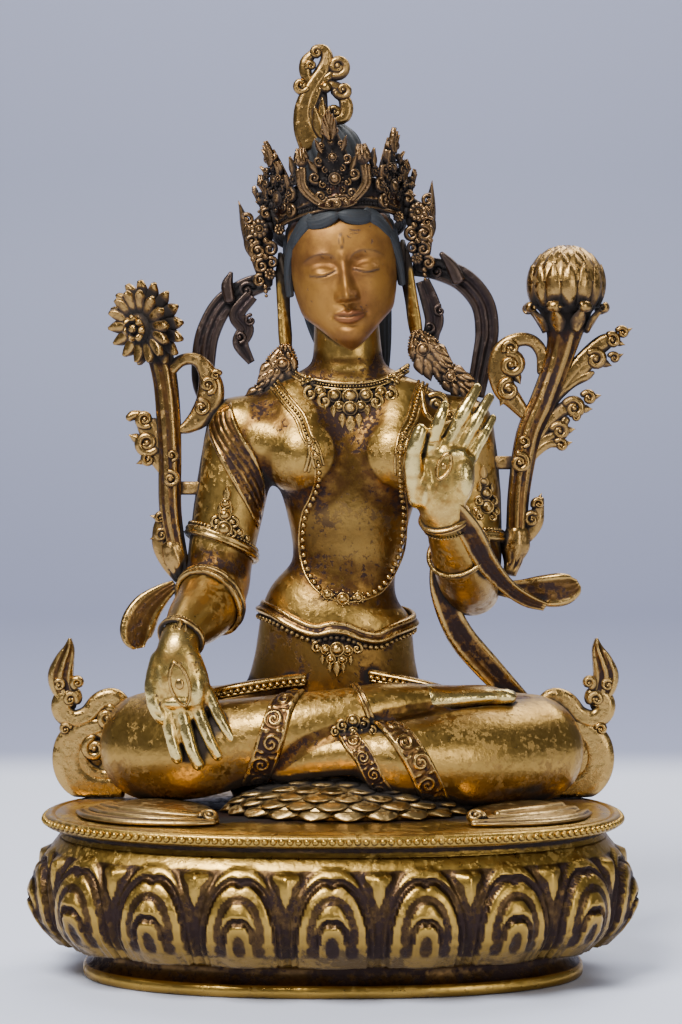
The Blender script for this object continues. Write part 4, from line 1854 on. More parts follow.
budLotus = {
    "husk": [[73.4, 30.4, 97, 3.2, 3.0], [75, 31.2, 104, 4.6, 6.0], [76, 31.8, 110, 4.6, 5.0]],
    "stem": [
        [72.6, 29, 92.5, 2.6, 2.6], [75.2, 31, 103, 3.6, 4.0], [76.6, 32, 126, 4.1, 4.4],
        [80.4, 32, 149, 4.3, 5.2], [86.6, 32, 164, 4.6, 5.4], [91.4, 32, 177, 5.0, 5.6],
        [94.6, 32, 188, 6, 6.6], [95.6, 32, 196, 8.0, 9.0], [95.8, 32, 203, 11, 12],
    ],
    "fullness": 1.4,
    "centre": (95.9, 32, 211.5),
    "radii": (15.2, 15.2, 15.6),
    # tier: count, latitude of the foot, length, half width, lift
    "tiers": [
        [14, -34, 17.0, 3.8, 0.9], [14, 2, 13.0, 3.4, 0.7], [12, 30, 10.0, 2.9, 0.6], [8, 54, 7.0, 2.4, 0.5],
        [5, 72, 4.4, 1.9, 0.4],
    ],
    "leaves": [
        [2.0, 0.4, [79.4, 158, 1.8], [75, 163.4, 2.6], [70.6, 169, 3.4], [68.6, 177, 3.6], [70, 184.6, 3.0],
         [75.6, 189, 2.2], [82, 188.6, 1.9], [86, 183.6, 1.9], [86.6, 176, 1.9]],
        [2.0, 0.4, [84, 152, 1.8], [90, 164, 2.0], [96.4, 173.6, 2.2], [104, 182, 2.4], [111, 187.6, 2.6],
         [116, 190.4, 1.6]],
        [1.8, 0.3, [86, 158, 1.6], [94, 168, 1.7], [101, 175.4, 1.9], [106, 180, 1.9]],
        [1.6, 0.0, [90, 163, 1.2], [98, 171, 1.5], [104.6, 174.4, 1.4], [107, 175.6, 0.7]],
        [2.0, 0.4, [80.6, 143, 1.8], [87, 153, 2.0], [93.4, 159.6, 2.2], [98.6, 162, 2.4]],
        [1.8, 0.3, [80, 140, 1.6], [85.4, 147, 1.5], [92, 150.6, 1.6], [96, 156.4, 1.4]],
        [1.6, 0.0, [79, 136, 1.4], [83, 142, 1.4], [88.6, 146.4, 1.5], [93.4, 146.4, 1.3]],
        [2.0, 0.3, [76.4, 105, 1.6], [80.6, 108.8, 2.0], [83.6, 113.6, 2.2], [84.4, 118.4, 2.0],
         [85.8, 123.4, 1.0]],
    ],
    "coils": [
        [73.2, 185.6, 2.8, 200, -1.1, 1.1], [73.2, 178.8, 4.2, 100, -1.3, 1.6],
        [72.4, 168.6, 3.6, 90, 1.2, 1.4], [114.8, 188.8, 2.6, 120, -1.1, 1.0],
        [119.0, 192.0, 2.0, 150, -1.0, 0.9], [108.0, 181.0, 3.4, 130, -1.2, 1.4],
        [115.6, 181.6, 1.9, 150, -1.0, 0.8], [99.2, 160.8, 3.6, 150, -1.2, 1.4],
        [105.2, 165.2, 2.4, 150, -1.1, 1.0], [93.4, 151.4, 3.0, 160, -1.2, 1.3],
        [93.8, 145.8, 2.2, 140, -1.0, 1.0], [81.8, 115.0, 2.6, 60, 1.1, 1.1],
        [84.6, 121.6, 2.0, 200, -1.0, 0.9], [99.8, 157.4, 1.8, 160, -1.0, 0.8],
    ],
    "onStem": [[76.6, 138.6, 3.8, 100, -1.3, 1.5], [78.2, 147.4, 2.4, 280, 1.0, 1.0]],
}


def onBall(centre, radii, foot, length, half, lift, number, offset):
    # petals laid on a ball: angle up the ball and round it, as one grid each with a closed underside
    up = np.linspace(0, 1, 12) * length / radii[0]
    wide = half * np.array([0.7, 0.82, 0.92, 0.98, 1, 1, 0.98, 0.92, 0.82, 0.66, 0.44, 0.1])
    rise = np.radians(foot) + up
    t = np.linspace(-1, 1, 9)
    turn = (np.arange(number) + offset) / number * 2 * np.pi
    ringRadius = np.maximum(np.cos(rise), 0.12) * radii[0]
    a = turn[:, None, None] + (wide / ringRadius)[None, :, None] * t
    edge = (1 - np.abs(t) ** 4) ** 0.5
    out = lift * edge * (0.7 + 0.6 * up[:, None] / up[-1]) + 0.45 * bump(t, 0.25) * edge
    sides = []
    for rising in (out, np.broadcast_to(-0.8, out.shape)):
        r = 1 + rising[None] / radii[0]
        rr = np.broadcast_to(rise[None, :, None], a.shape)
        x, y, z = np.cos(rr) * np.sin(a), -np.cos(rr) * np.cos(a), np.sin(rr)
        sides.append(np.stack([x, y, z], -1) * r[..., None] * radii + centre)
    return [capped(rings) for rings in np.concatenate([sides[0], sides[1][:, :, ::-1]], 2)]


def buildBudLotus():
    l = budLotus
    parts = [flutedStem(l["stem"], 8, 0.5), ball(l["centre"], l["radii"], 40, 28)]
    for k, (number, foot, length, half, lift) in enumerate(l["tiers"]):
        parts += onBall(l["centre"], np.array(l["radii"]), foot, length, half, lift, number, 0.5 * (k % 2))
    # sepals on the cup, their tips rolled outwards
    turn = np.arange(8) / 8 * 360 + 22
    for angle in turn:
        sepal = [leafBlade(11.5, 3.5, 1.1, 1.5, 0.5)]
        sepal += turned(volute(0, 0, 1.9, 90, 0.9, 1.0, 0, 2.8), (0, -2.4, 11.6), turn=90)
        sepal = turned(sepal, (0, -8.6, 0), lean=27)
        parts += turned(sepal, (95.8, 32, 192.6), turn=angle)
    parts += lotusLeaves(l)
    parts.append(strut(76, 59, 33, 138.5))
    parts.append(stemFoot(l["husk"]))
    addPiece("budLotus", parts, metals["stem"], "gilt_copper", "left_lotus")


# Scarf ends that stand on the plate beside the knees

scrollEnd = {
    "fullness": 1.6,
    # round webs behind the coils: across, up, radius
    "webs": [[93.4, 33.4, 6.0], [99.6, 18.8, 7.4], [105.4, 27.0, 5.0], [109.6, 38.6, 3.4], [92, 10, 6.4]],
    "flame": [[108, 38, 2.2], [111.5, 44, 4.6], [112.8, 50, 5.4], [111.4, 56, 4.4], [109.4, 61.5, 2.6],
              [108.8, 66, 0.7]],
    "strands": [
        [2.7, 0.6, [106, 42, 2.2], [111.4, 40.6, 2.8], [112, 35.6, 2.8], [107.6, 32.2, 2.6],
         [101.6, 34, 2.6], [96.4, 39.4, 2.8], [90.8, 40.8, 2.8], [87.4, 36.4, 2.8], [87.6, 31, 2.6]],
        [2.5, 0.6, [96, 29.6, 2.4], [103, 27.6, 3.4], [108.6, 22.4, 4.0], [109.6, 14, 4.2], [106, 7, 4.2],
         [98.4, 3.8, 3.8], [88, 3.6, 3.4]],
        [2.2, 0.4, [104, 31, 2.0], [96, 27, 2.2], [88, 22, 2.4]],
        [2.0, 0.3, [104.6, 20, 2.0], [102.6, 12.4, 2.2], [96, 8.6, 2.0], [89, 9.6, 1.8]],
        [2.0, 0.3, [100.6, 25.4, 1.6], [98.4, 19.6, 1.8], [92.6, 16.4, 1.6], [88, 16.8, 1.4]],
    ],
    "coils": [
        [93.2, 33.0, 4.4, 100, 1.25, 1.6], [108.6, 40.8, 2.8, 200, -1.1, 1.1],
        [98.6, 20.4, 4.4, 80, -1.2, 1.5], [110.6, 28.4, 2.2, 160, -1.0, 0.9],
        [105.6, 47.6, 2.4, 300, 1.1, 1.0], [113.2, 46.6, 2.2, 60, 1.0, 0.9],
    ],
}


def keptOver(parts, level):
    # nothing of the parts goes under a level over the plate
    return [(np.column_stack([v[:, :2], np.maximum(v[:, 2], level)]), f) for v, f in parts]


def buildScrollEnds():
    for name, flip in (("right", -1), ("left", 1)):
        at = lambda rows: [[flip * x, z, w] for x, z, w in rows]
        ridged = lambda run, across: 0.9 * bump(across, 1.1) + 0.4 * bump(np.abs(across) - 3.2, 0.6)
        parts = [strap(planar(at(scrollEnd["flame"]), 32, 1.6), 50, 16, pattern=ridged)]
        for thick, groove, *points in scrollEnd["strands"]:
            points = [[x, z, w * scrollEnd["fullness"]] for x, z, w in points]
            parts.append(tendril(at(points), 32, thick, groove, around=20))
        for x, z, r in scrollEnd["webs"]:
            parts.append(ball((flip * x, 32.6, z), (r, 1.5, r), 24, 12))
        for x, z, r, start, turns, half in scrollEnd["coils"]:
            parts += coil(flip, x, z, r, start, turns, half * scrollEnd["fullness"], 31.2, 2.4, 12)
        parts = keptOver(parts, 0.02)
        addPiece(name + "ScarfEnd", parts, metals["cast"], "gilt_copper", name + "_scarf_scroll")


# Jewellery on the body

def shareAt(name, place):
    # the share of a limb's length that lies nearest to a place
    line = smoothLine(limbs[name][0], limbSteps)
    return np.argmin(np.linalg.norm(line[:, :3] - place, axis=1)) / (limbSteps - 1)


def aroundLimb(name, place, tilt):
    # shares and turns of a ring round a limb at a place; tilt is how far it moves along the limb, in
    # mm, at its side and at its face
    length = lineLength(smoothLine(limbs[name][0], limbSteps))
    turn = np.arange(bandSteps) / bandSteps * 2 * np.pi
    return shareAt(name, place) + (tilt[0] * np.cos(turn) + tilt[1] * np.sin(turn)) / length, turn


def limbBand(name, place, halfWidth, thick, tilt, out, pattern):
    u, turn = aroundLimb(name, place, tilt)
    return strap(limbRows(name, u, turn, halfWidth, thick, out, True), 96, 10, pattern=pattern, closed=True)


def limbBeads(name, place, radius, tilt, out):
    return beadString(onLimb(name, *aroundLimb(name, place, tilt), out), radius, 2.1, closed=True)


def onTrunk(z, turn, out=0.0):
    # turn 0 is the front, positive to the viewer's right
    line = smoothLine(body["trunk"], 300)
    x, y, wide, deep = [np.interp(z, line[:, 2], line[:, i]) for i in (0, 1, 3, 4)]
    return np.stack([x + np.sin(turn) * (wide + out), y - np.cos(turn) * (deep + out), z + 0 * turn], -1)


def beside(places, shift):
    # a line across and up, moved sideways by shift
    rows = np.asarray(places, float)
    along = unit(np.gradient(rows, axis=0))
    return rows + shift * np.stack([along[:, 1], -along[:, 0]], 1)


def laid(parts, x, z, lift):
    # ornament made round the origin, set on the front of the skin
    return turned(parts, (x, float(frontOf(x, z)) - lift, z))


jewels = {
    "necklace": [
        [-24.5, 171.1], [-18.7, 163.6], [-13.5, 157.2], [-10.6, 149.6], [-7.7, 144.4], [-5.7, 137.4],
        [-5.9, 130.5], [-8.2, 123.5], [-11.1, 117.7], [-12.5, 109.6], [-12.1, 100.3], [-9.4, 92.2],
        [-4.2, 86.3], [4.0, 83.4], [12.1, 84.0], [19.0, 86.9], [24.3, 93.9], [27.8, 102.6],
        [28.7, 111.9], [28.9, 118.9], [27.8, 125.8], [27.2, 134.0], [27.2, 142.1], [28.9, 150.2],
        [32.4, 157.2], [34.7, 165.3], [37.0, 171.5],
    ],
    # single stones: x, z, radius
    "studs": [
        (-9.4, 147.2, 2.3), (-7.0, 141.6, 1.9), (27.6, 144.6, 2.1), (28.4, 149.6, 1.9), (4, 83.2, 3.4),
        (-2.2, 84.8, 2.7), (10.2, 83.6, 2.7),
    ],
    # short cords: points, then radius
    "cords": [
        ([[-9.6, 145.6], [-10.2, 140], [-11.4, 135.4]], 0.9),
        ([[-8.2, 145], [-8.8, 139.6], [-10, 135.2]], 0.7),
    ],
    # the belt: turn round the trunk, and height
    "beltTurn": [-180, -150, -120, -95, -75, -50, -37, -22, -12, -3, 8, 20, 33, 47, 75, 95, 120, 150],
    "beltRise": [
        77, 77.4, 78, 78.6, 78.4, 76.6, 74, 70.8, 70, 71.2, 70.6, 67.9, 67.1, 69.8, 72.2, 73.8, 75.4, 76.6,
    ],
    # sleeve ends, bracelets and the ring over the ankle: limb, place, half width, thickness, tilt, out
    "bands": [
        ("rightArm", (-46, 36, 104.6), 2.3, 1.5, (3.2, -2.4), 0.3),
        ("leftArm", (56.4, 34, 104.6), 2.3, 1.5, (-1, -2), 0.3),
        ("rightArm", (-50, 23, 84.6), 1.5, 1.3, (4.0, 0), 0.2),
        ("rightArm", (-50.6, 20.6, 82.4), 1.3, 1.2, (4.2, 0), 0.2),
        ("rightArm", (-60.2, -8.6, 69.2), 1.5, 1.2, (1.6, -0.6), 0.2),
        ("leftForearm", (44.2, -14, 117.2), 1.5, 1.2, (-1, 0), 0.2),
        ("leftForearm", (50, 1, 103.5), 1.2, 1.0, (1, 0), 0.1),
        ("rightShin", (12, -6.4, 39.4), 1.6, 1.1, (0, -1), 0.1),
    ],
    # strings of beads beside them: limb, place, radius, tilt, out
    "strings": [
        ("rightArm", (-45.6, 36.2, 107.4), 0.8, (3.2, -2.4), 0.5),
        ("leftArm", (56.2, 34, 107.4), 0.8, (-1, -2), 0.5),
        ("rightArm", (-59.6, -6.6, 70.3), 0.6, (1.6, -0.6), 0.3),
        ("leftForearm", (45.2, -11.6, 114.8), 0.6, (-1, 0), 0.3),
    ],
    "wristStones": [(54.4, 115.6, 1.3), (51.6, 114.2, 1.0), (56.2, 112.6, 1.1)],
    "collar": [[-19, 176.4], [-12.4, 172.6], [-4.4, 170.4], [6.5, 169.4], [17, 170.4], [25, 173.4],
               [31, 177.2]],
    "collarPendant": [
        # kind, across, up, size
        ["gem", 7.0, 165.6, 2.1], ["gem", 0.6, 166.0, 1.8], ["gem", 13.4, 166.0, 1.8],
        ["gem", 7.0, 160.8, 1.9], ["gem", 2.6, 161.6, 1.4], ["gem", 11.4, 161.6, 1.4],
        ["gem", -5.4, 167.6, 1.5], ["gem", 19.6, 167.4, 1.5], ["leaf", 7.2, 157.6, 6.4],
        ["leaf", 3.8, 158.6, 4.6], ["leaf", 10.6, 158.6, 4.6], ["leaf", 0.2, 162.0, 4.0],
        ["leaf", 14.0, 162.0, 4.0], ["leaf", -3.4, 164.2, 3.4], ["leaf", 17.6, 164.2, 3.4],
        ["coil", -3.4, 163.6, 2.3], ["coil", 17.6, 163.4, -2.3], ["coil", -9.4, 166.6, 2.2],
        ["coil", 23.4, 166.4, -2.2],
    ],
    "beltPendant": [
        ["gem", 1.6, 62.6, 1.9], ["gem", -3.0, 62.6, 1.3], ["gem", 6.0, 62.2, 1.3], ["gem", -0.9, 58.6, 1.2],
        ["gem", 3.8, 58.4, 1.2], ["leaf", 1.5, 57.6, 5.0], ["leaf", -1.4, 57.4, 3.2],
        ["leaf", 4.2, 57.2, 3.2], ["coil", -6.6, 63.4, 1.7], ["coil", 9.8, 62.8, -1.7],
        ["leaf", -4.4, 60.4, 3.0], ["leaf", 7.2, 60.0, 3.0],
    ],
    "armletRight": [
        ["gem", -43.9, 122.2, 1.3], ["gem", -44.3, 117.3, 1.6], ["gem", -44.5, 111.6, 2.0],
        ["gem", -50.4, 110.9, 1.3], ["gem", -38.6, 110.0, 1.3], ["up", -43.4, 123.4, 4.6],
        ["up", -46.4, 117.8, 3.2], ["up", -41.8, 117.8, 3.2], ["coil", -47.8, 114.2, 1.8],
        ["coil", -41.0, 114.0, -1.8], ["coil", -47.4, 110.2, 1.5], ["coil", -41.6, 109.6, -1.5],
        ["gem", -53.0, 109.4, 0.9], ["gem", -35.6, 107.6, 0.9],
    ],
    "armletLeft": [
        ["gem", 61.7, 130.6, 1.2], ["gem", 62.6, 126.0, 1.5], ["gem", 62.9, 120.6, 1.8],
        ["gem", 58.8, 118.8, 1.1], ["gem", 66.6, 118.6, 1.1], ["up", 61.6, 132.0, 4.4],
        ["up", 60.0, 127.0, 3.0], ["up", 65.0, 126.6, 3.0], ["coil", 60.0, 122.8, 1.6],
        ["coil", 65.4, 122.6, -1.6], ["coil", 60.4, 116.8, 1.4], ["coil", 65.2, 116.2, -1.4],
    ],
    "anklet": [
        ["gem", 8.0, 37.4, 1.7], ["coil", 3.8, 35.6, 1.8], ["coil", 12.2, 35.8, -1.8],
        ["coil", 1.0, 33.4, 1.4], ["coil", 15.4, 33.8, -1.4], ["gem", 8.0, 33.4, 1.2],
        ["leaf", 8.0, 33.6, 3.4], ["leaf", 4.8, 34.4, 3.0], ["leaf", 11.4, 34.4, 3.0],
    ],
    "wristRight": [
        ["gem", -60.4, 72.6, 1.1], ["coil", -62.4, 70.8, 1.2], ["coil", -58.2, 70.8, -1.2],
        ["up", -60.4, 73.4, 3.2], ["up", -62.6, 72.2, 2.4], ["up", -58.2, 72.2, 2.4],
    ],
}


def jewelled(items):
    # gems, leaves and coils as listed, a third larger than drawn and standing a little proud
    growth, lift = 1.3, 0.7
    parts = []
    for kind, x, z, size in items:
        size *= growth
        if kind == "gem":
            piece = gem(0, 0, size, 0, 0)
        elif kind == "leaf":
            piece = turned([leafBlade(size, size * 0.3, 0.9, 0, 0.4)], roll=180)
        elif kind == "up":
            piece = [leafBlade(size, size * 0.3, 0.9, 0, 0.4)]
        else:
            piece = volute(0, 0, abs(size), 90, np.sign(size) * 1.1, abs(size) * 0.36, 0, 0.9)
        parts += laid(piece, x, z, lift)
    return parts


def buildJewellery():
    j = jewels
    parts = []
    chain = np.array(j["necklace"])
    parts.append(drapedBeads(chain[5:22], 1.25, 2.45))
    parts.append(drapedCord(beside(chain[5:22], 1.5), 0.55))
    for ends in (chain[:6], chain[21:]):
        parts.append(drapedBeads(ends, 0.85))
        parts += [drapedCord(beside(ends, shift), 0.75) for shift in (-1.9, 1.9)]
    for x, z, r in j["studs"]:
        parts += laid(gem(0, 0, r * 0.6, 0, 8), x, z, 0.9)
    parts += [drapedCord(points, r) for points, r in j["cords"]]
    collar = np.array(j["collar"])
    parts += [drapedCord(collar + [0, up], r, 0.4) for up, r in ((1.6, 0.95), (-0.9, 0.7))]
    parts.append(drapedBeads(collar + [0, 0.3], 0.6, lift=1.4))
    parts += laid(rosette(0, 0, 3.2), -10.4, 171.6, 1.0) + laid(rosette(0, 0, 3.2), 24.4, 172.4, 1.0)
    parts += jewelled(j["collarPendant"])
    turn, rise = np.radians(j["beltTurn"]), np.array(j["beltRise"])
    belt = onTrunk(rise, turn, 0.2)
    side = unit(onTrunk(rise + 2.5, turn, 0.2) - onTrunk(rise - 3.5, turn, 0.2))
    rows = np.concatenate([belt, np.tile([3.0, 1.5], (len(belt), 1)), side], 1)
    rolled = lambda run, across: 0.9 * bump(across + 1.4, 1.1) - 0.3 * bump(across - 0.6, 0.5)
    parts.append(strap(rows, 170, 12, pattern=rolled, closed=True))
    parts.append(beadString(onTrunk(rise - 3.9, turn, 0.5), 1.15, 2.1, closed=True))
    parts += jewelled(j["beltPendant"])
    for items in ("armletRight", "armletLeft", "anklet", "wristRight"):
        parts += jewelled(j[items])
    edge = lambda run, across: 0.5 * bump(across - 0.9, 0.5) + 0.25 * bump(across + 1.0, 0.5)
    parts += [limbBand(*band, edge) for band in j["bands"]]
    parts += [limbBeads(*string) for string in j["strings"]]
    # the curl of scarf on the left shoulder and the plaque beside the left wrist
    parts += laid(volute(0, 0, 4.6, 130, -1.3, 1.5, 0, 1.3, 12), 42.6, 162.4, 0.2)
    parts.append(drapedCord([[36.4, 167.6], [38, 158.6], [43, 154.8], [48.4, 156]], 1.2))
    parts += laid(volute(0, 0, 2.2, 200, 1.1, 0.8, 0, 1.0), 47.6, 158.4, 0.3)
    for x, z, r in j["wristStones"]:
        parts += laid(gem(0, 0, r, 0, 7), x, z, 0.9)
    addPiece("castJewellery", parts, metals["cast"], "gilt_copper", "figure")


# eyes on the palms: centre, half width, half height, roll
palmEyes = [((-60.2, 52), 3.7, 8.8, -14), ((43.4, 137.6), 2.4, 5.4, 22)]


def buildPalmEyes():
    parts = []
    for centre, half, high, roll in palmEyes:
        turn = np.linspace(0, 2 * np.pi, 25)[:-1]
        x, z = half * np.sin(turn) * np.abs(np.sin(turn)) ** 0.4, high * np.cos(turn)
        a = np.radians(roll)
        outline = np.stack([x * np.cos(a) + z * np.sin(a), z * np.cos(a) - x * np.sin(a)], 1) + centre
        lids = draped(outline, 0.1, 90, closed=True)
        rows = np.column_stack([lids, np.full((len(lids), 2), 0.75)])
        parts.append(sweep(rows, side=(0, 1, 0), around=8, count=90, closed=True))
        parts += laid([ball((0, 0, 0), (half * 0.5, 0.6, half * 0.6), 14, 9)], *centre, 0.0)
    addPiece("palmEyes", parts, metals["cast"], "gilt_copper", "figure")


# Ear ornaments

pendant = {
    # on the head: x, y, z, half width, thickness
    "rows": [
        [27.2, -1.2, -27, 1.6, 1.2], [27.8, -1.6, -30, 4.2, 1.4], [29.4, -2.2, -34.6, 6.6, 1.5],
        [32.4, -2.6, -39.8, 5.8, 1.5], [35.0, -2.4, -43.2, 3.8, 1.4], [38.8, -2.0, -46.8, 5.2, 1.4],
        [43.4, -1.2, -51.2, 4.4, 1.3], [48.2, -0.2, -56, 0.8, 1.0],
    ],
    "leafRows": 15,
    "steps": 60,  # points of its line
    "stones": [(29.2, -35, 2.3), (39.2, -47.4, 1.7)],
}


def buildPendants():
    parts = []
    steps = pendant["steps"]
    for flip in (-1, 1):
        line = smoothLine(headRows(pendant["rows"], flip), steps)
        along, side = tangents(line[:, :3]), facing(line)
        line = np.column_stack([line, side])
        parts.append(strap(line, 70, 12))
        outer = unit(np.cross(along, side))
        # rows of overlapping leaves that point down the pendant, and small beads along both edges
        for k, share in enumerate(np.linspace(0.03, 0.88, pendant["leafRows"])):
            i = int(share * (steps - 1))
            size = max(1.2, line[i, 3] * 0.42)
            spread = np.array((-0.42, 0.42) if k % 2 else (-0.78, 0, 0.78))
            fan = unit(along[i] + side[i] * spread[:, None] * 0.5)
            across = np.cross(fan, outer[i])
            matrices = np.stack([across, np.broadcast_to(-outer[i], fan.shape), fan], 2)
            at = line[i, :3] + side[i] * spread[:, None] * line[i, 3] * 0.8 + outer[i] * 1.3
            leaf = leafBlade(size * 2.6, size, 0.9, -0.9, 0.5, 8, 4)
            parts.append(copies(leaf, matrices, at))
        for t in (-1, 1):
            edge = line[:, :3] + side * t * line[:, 3:4] * 0.98 + outer * 0.8
            parts.append(beadString(edge, 0.62, 2.0))
        for x, z, r in pendant["stones"]:
            parts += onHeadParts(gem(flip * x, z, r, -4.4, 9))
        parts += onHeadParts(rosette(flip * 27.4, -28.4, 2.0, -2.6))
    addPiece("earPendants", parts, metals["pendant"], "dark_copper", "figure")


# Cloth: scarf, hems and skirt

cloth = {
    "scarf": [
        # side, then x, y, z, half width, thickness
        [(1, 0, -1), [-65, 27.4, 88.4, 2.2, 1.2], [-70.5, 26, 84.6, 4.2, 1.1], [-76.4, 24.4, 79, 6.4, 1.1],
         [-79.8, 22.6, 72.6, 7.2, 1.0], [-80.6, 21.4, 67, 6.2, 0.9], [-79.6, 20.6, 62.6, 2.6, 0.8]],
        [(1, 0, 0.2), [45, -22, 123, 4.0, 1.1], [53, -17, 113, 5.0, 1.1], [60.4, -8, 100, 4.6, 1.1],
         [69, 0.6, 90, 3.6, 1.1], [78, 7.6, 83.6, 3.4, 1.0], [86, 11.4, 80.6, 2.2, 0.8]],
        [(0, 0, 1), [66, 24, 87.6, 3.0, 1.2], [75, 19, 86.6, 4.2, 1.1], [84, 15, 86.6, 6.2, 1.0],
         [92, 12.8, 87.2, 6.8, 0.9], [97.4, 12.2, 88.8, 5.0, 0.8], [99.6, 12, 90, 1.8, 0.7]],
        [(1, 0, 1), [42.6, 18, 103, 1.4, 1.0], [42.6, 19.6, 94, 3.4, 1.1], [45.2, 22, 83, 4.8, 1.1],
         [52.4, 27.4, 67.6, 5.6, 1.1], [64, 33, 53.6, 5.6, 1.1], [78, 38, 39, 4.4, 1.1]],
    ],
    "armOuter": [[-49.6, 158.6], [-51.6, 151.4], [-47.5, 141.4], [-41.4, 130.4], [-35.0, 119.4],
                 [-30.8, 111]],
    "armInner": [[-42.0, 163.4], [-38.6, 153.6], [-34.6, 146.6], [-30.8, 139.6], [-28.4, 131.6],
                 [-28.0, 123]],
    "hems": [
        [[-52, 13.6, 43.2], [-43, 12.6, 45.2], [-34, 12.6, 46.8], [-22, 14, 48.6], [-12, 16, 49.6]],
        [[15.6, 14.4, 51.2], [26, 10.4, 49.6], [37, 6.4, 47.6], [48, 3.6, 44.6], [59, 1.6, 40]],
    ],
    # running scrolls on the shins and over the left ankle: limb, places and turns, half width, pitch
    "bands": [
        ("rightShin", [
            [(-12, -8, 33), 84], [(-17, -7.5, 32), 130], [(-23, -7, 31), 178], [(-29, -6, 29), 222],
            [(-34, -5, 28), 256],
        ], 5.6, 9.6),
        ("leftShin", [
            [(17, -17, 23), 285], [(22, -16.6, 22.6), 235], [(28, -14.6, 22.2), 186],
            [(35, -12.2, 21.6), 138], [(42, -9, 21.4), 100],
        ], 5.6, 9.6),
        ("leftShin", [
            [(6, -17.6, 24), 262], [(8, -18, 24.2), 220], [(12, -18, 24), 180], [(17, -17.4, 23.2), 140],
            [(21, -16.6, 22.6), 112],
        ], 4.2, 7.6),
    ],
    # curls of its edge: x, y, radius, way; and flat mounds under it: centre, radii
    "curls": [(-47.6, -40.4, 3.4, 1), (55, -40.6, 3.4, -1)],
    "mounds": [((-71, -14, 0), (24, 29, 4.4)), ((76, -16, 0), (23, 27, 4.4))],
    # folds that lie on the plate: x, y, z, half height, half depth
    "folds": [
        [[-99, -14, 0.8, 1.6, 3.0], [-94, -29, 1.0, 1.9, 3.2], [-82, -40, 1.0, 1.9, 3.2],
         [-68, -44.6, 1.0, 1.8, 3.0], [-55, -45.6, 1.0, 1.7, 2.8], [-46, -43.4, 0.9, 1.5, 2.2]],
        [[-94, -12, 1.4, 2.0, 3.4], [-86, -27, 1.6, 2.3, 3.6], [-73, -36.4, 1.7, 2.3, 3.6],
         [-58, -39.8, 1.4, 2.0, 3.2], [-45, -39, 1.0, 1.6, 2.4]],
        [[-90, -10, 2.2, 2.4, 3.6], [-80, -24, 2.4, 2.8, 3.8], [-66, -31.6, 2.4, 2.6, 3.6],
         [-50, -33.4, 1.6, 2.0, 3.0]],
        [[99.6, -16, 0.8, 1.6, 3.0], [94, -31, 1.0, 1.9, 3.2], [82, -41, 1.0, 1.9, 3.2],
         [68, -44.8, 1.0, 1.8, 3.0], [54, -45, 0.9, 1.6, 2.6]],
        [[95, -14, 1.4, 2.0, 3.4], [85, -29, 1.6, 2.3, 3.6], [71, -37.4, 1.6, 2.2, 3.4],
         [54, -39, 1.0, 1.6, 2.4]],
        [[90, -12, 2.2, 2.4, 3.6], [79, -24.6, 2.4, 2.6, 3.8], [64, -31.6, 2.0, 2.2, 3.2]],
    ],
    "fanCentre": (6, -4, 0),
    "fanRadii": (48, 30, 15),
    # row of scales: number round, angle of the foot, length, half width, lift
    "fanScales": [
        [22, 14, 11, 7.0, 1.9], [22, 27, 11, 6.6, 1.7], [21, 39, 11, 6.2, 1.6], [19, 51, 11, 5.6, 1.4],
        [16, 63, 11, 5.0, 1.3], [12, 76, 12, 4.4, 1.2],
    ],
}


def scaleRow(centre, radii, foot, length, half, lift, number, offset):
    # scales on an oval mound, from foot down towards its edge, with rounded tips
    share = np.linspace(0, 1, 7)
    wide = half * np.array([0.8, 0.94, 1, 1, 0.97, 0.82, 0.36])
    rise = np.radians(foot) - share * length / radii[0]
    t = np.linspace(-1, 1, 7)
    turn = (np.arange(number) + offset) / number * 2 * np.pi
    turn = turn[np.cos(turn) > 0.1]
    a = turn[:, None, None] + (wide / (np.maximum(np.cos(rise), 0.2) * radii[0]))[None, :, None] * t
    edge = (1 - np.abs(t) ** 4) ** 0.5
    out = lift * edge * (0.25 + 0.95 * share[:, None]) + 0.4 * bump(t, 0.3) * edge * share[:, None]
    rr = np.broadcast_to(rise[None, :, None], a.shape)
    shell = np.stack([np.cos(rr) * np.sin(a), -np.cos(rr) * np.cos(a), np.sin(rr)], -1)
    sides = []
    for rising in (out, np.broadcast_to(-1.2, out.shape)):
        proud = rising[None][..., None]
        sides.append(shell * (1 + proud / radii[0]) * radii + shell * proud * 0.5 + centre)
    return [capped(rings) for rings in np.concatenate([sides[0], sides[1][:, :, ::-1]], 2)]


def scarfFace(run, across):
    # a rolled rim and creases that follow the length
    half = np.abs(across).max(1, keepdims=True)
    share = across / half
    creases = sum(bump(share - at, 0.07) for at in (-0.45, 0.05, 0.5))
    return 0.5 * bump(np.abs(share) - 0.9, 0.09) - 0.3 * creases


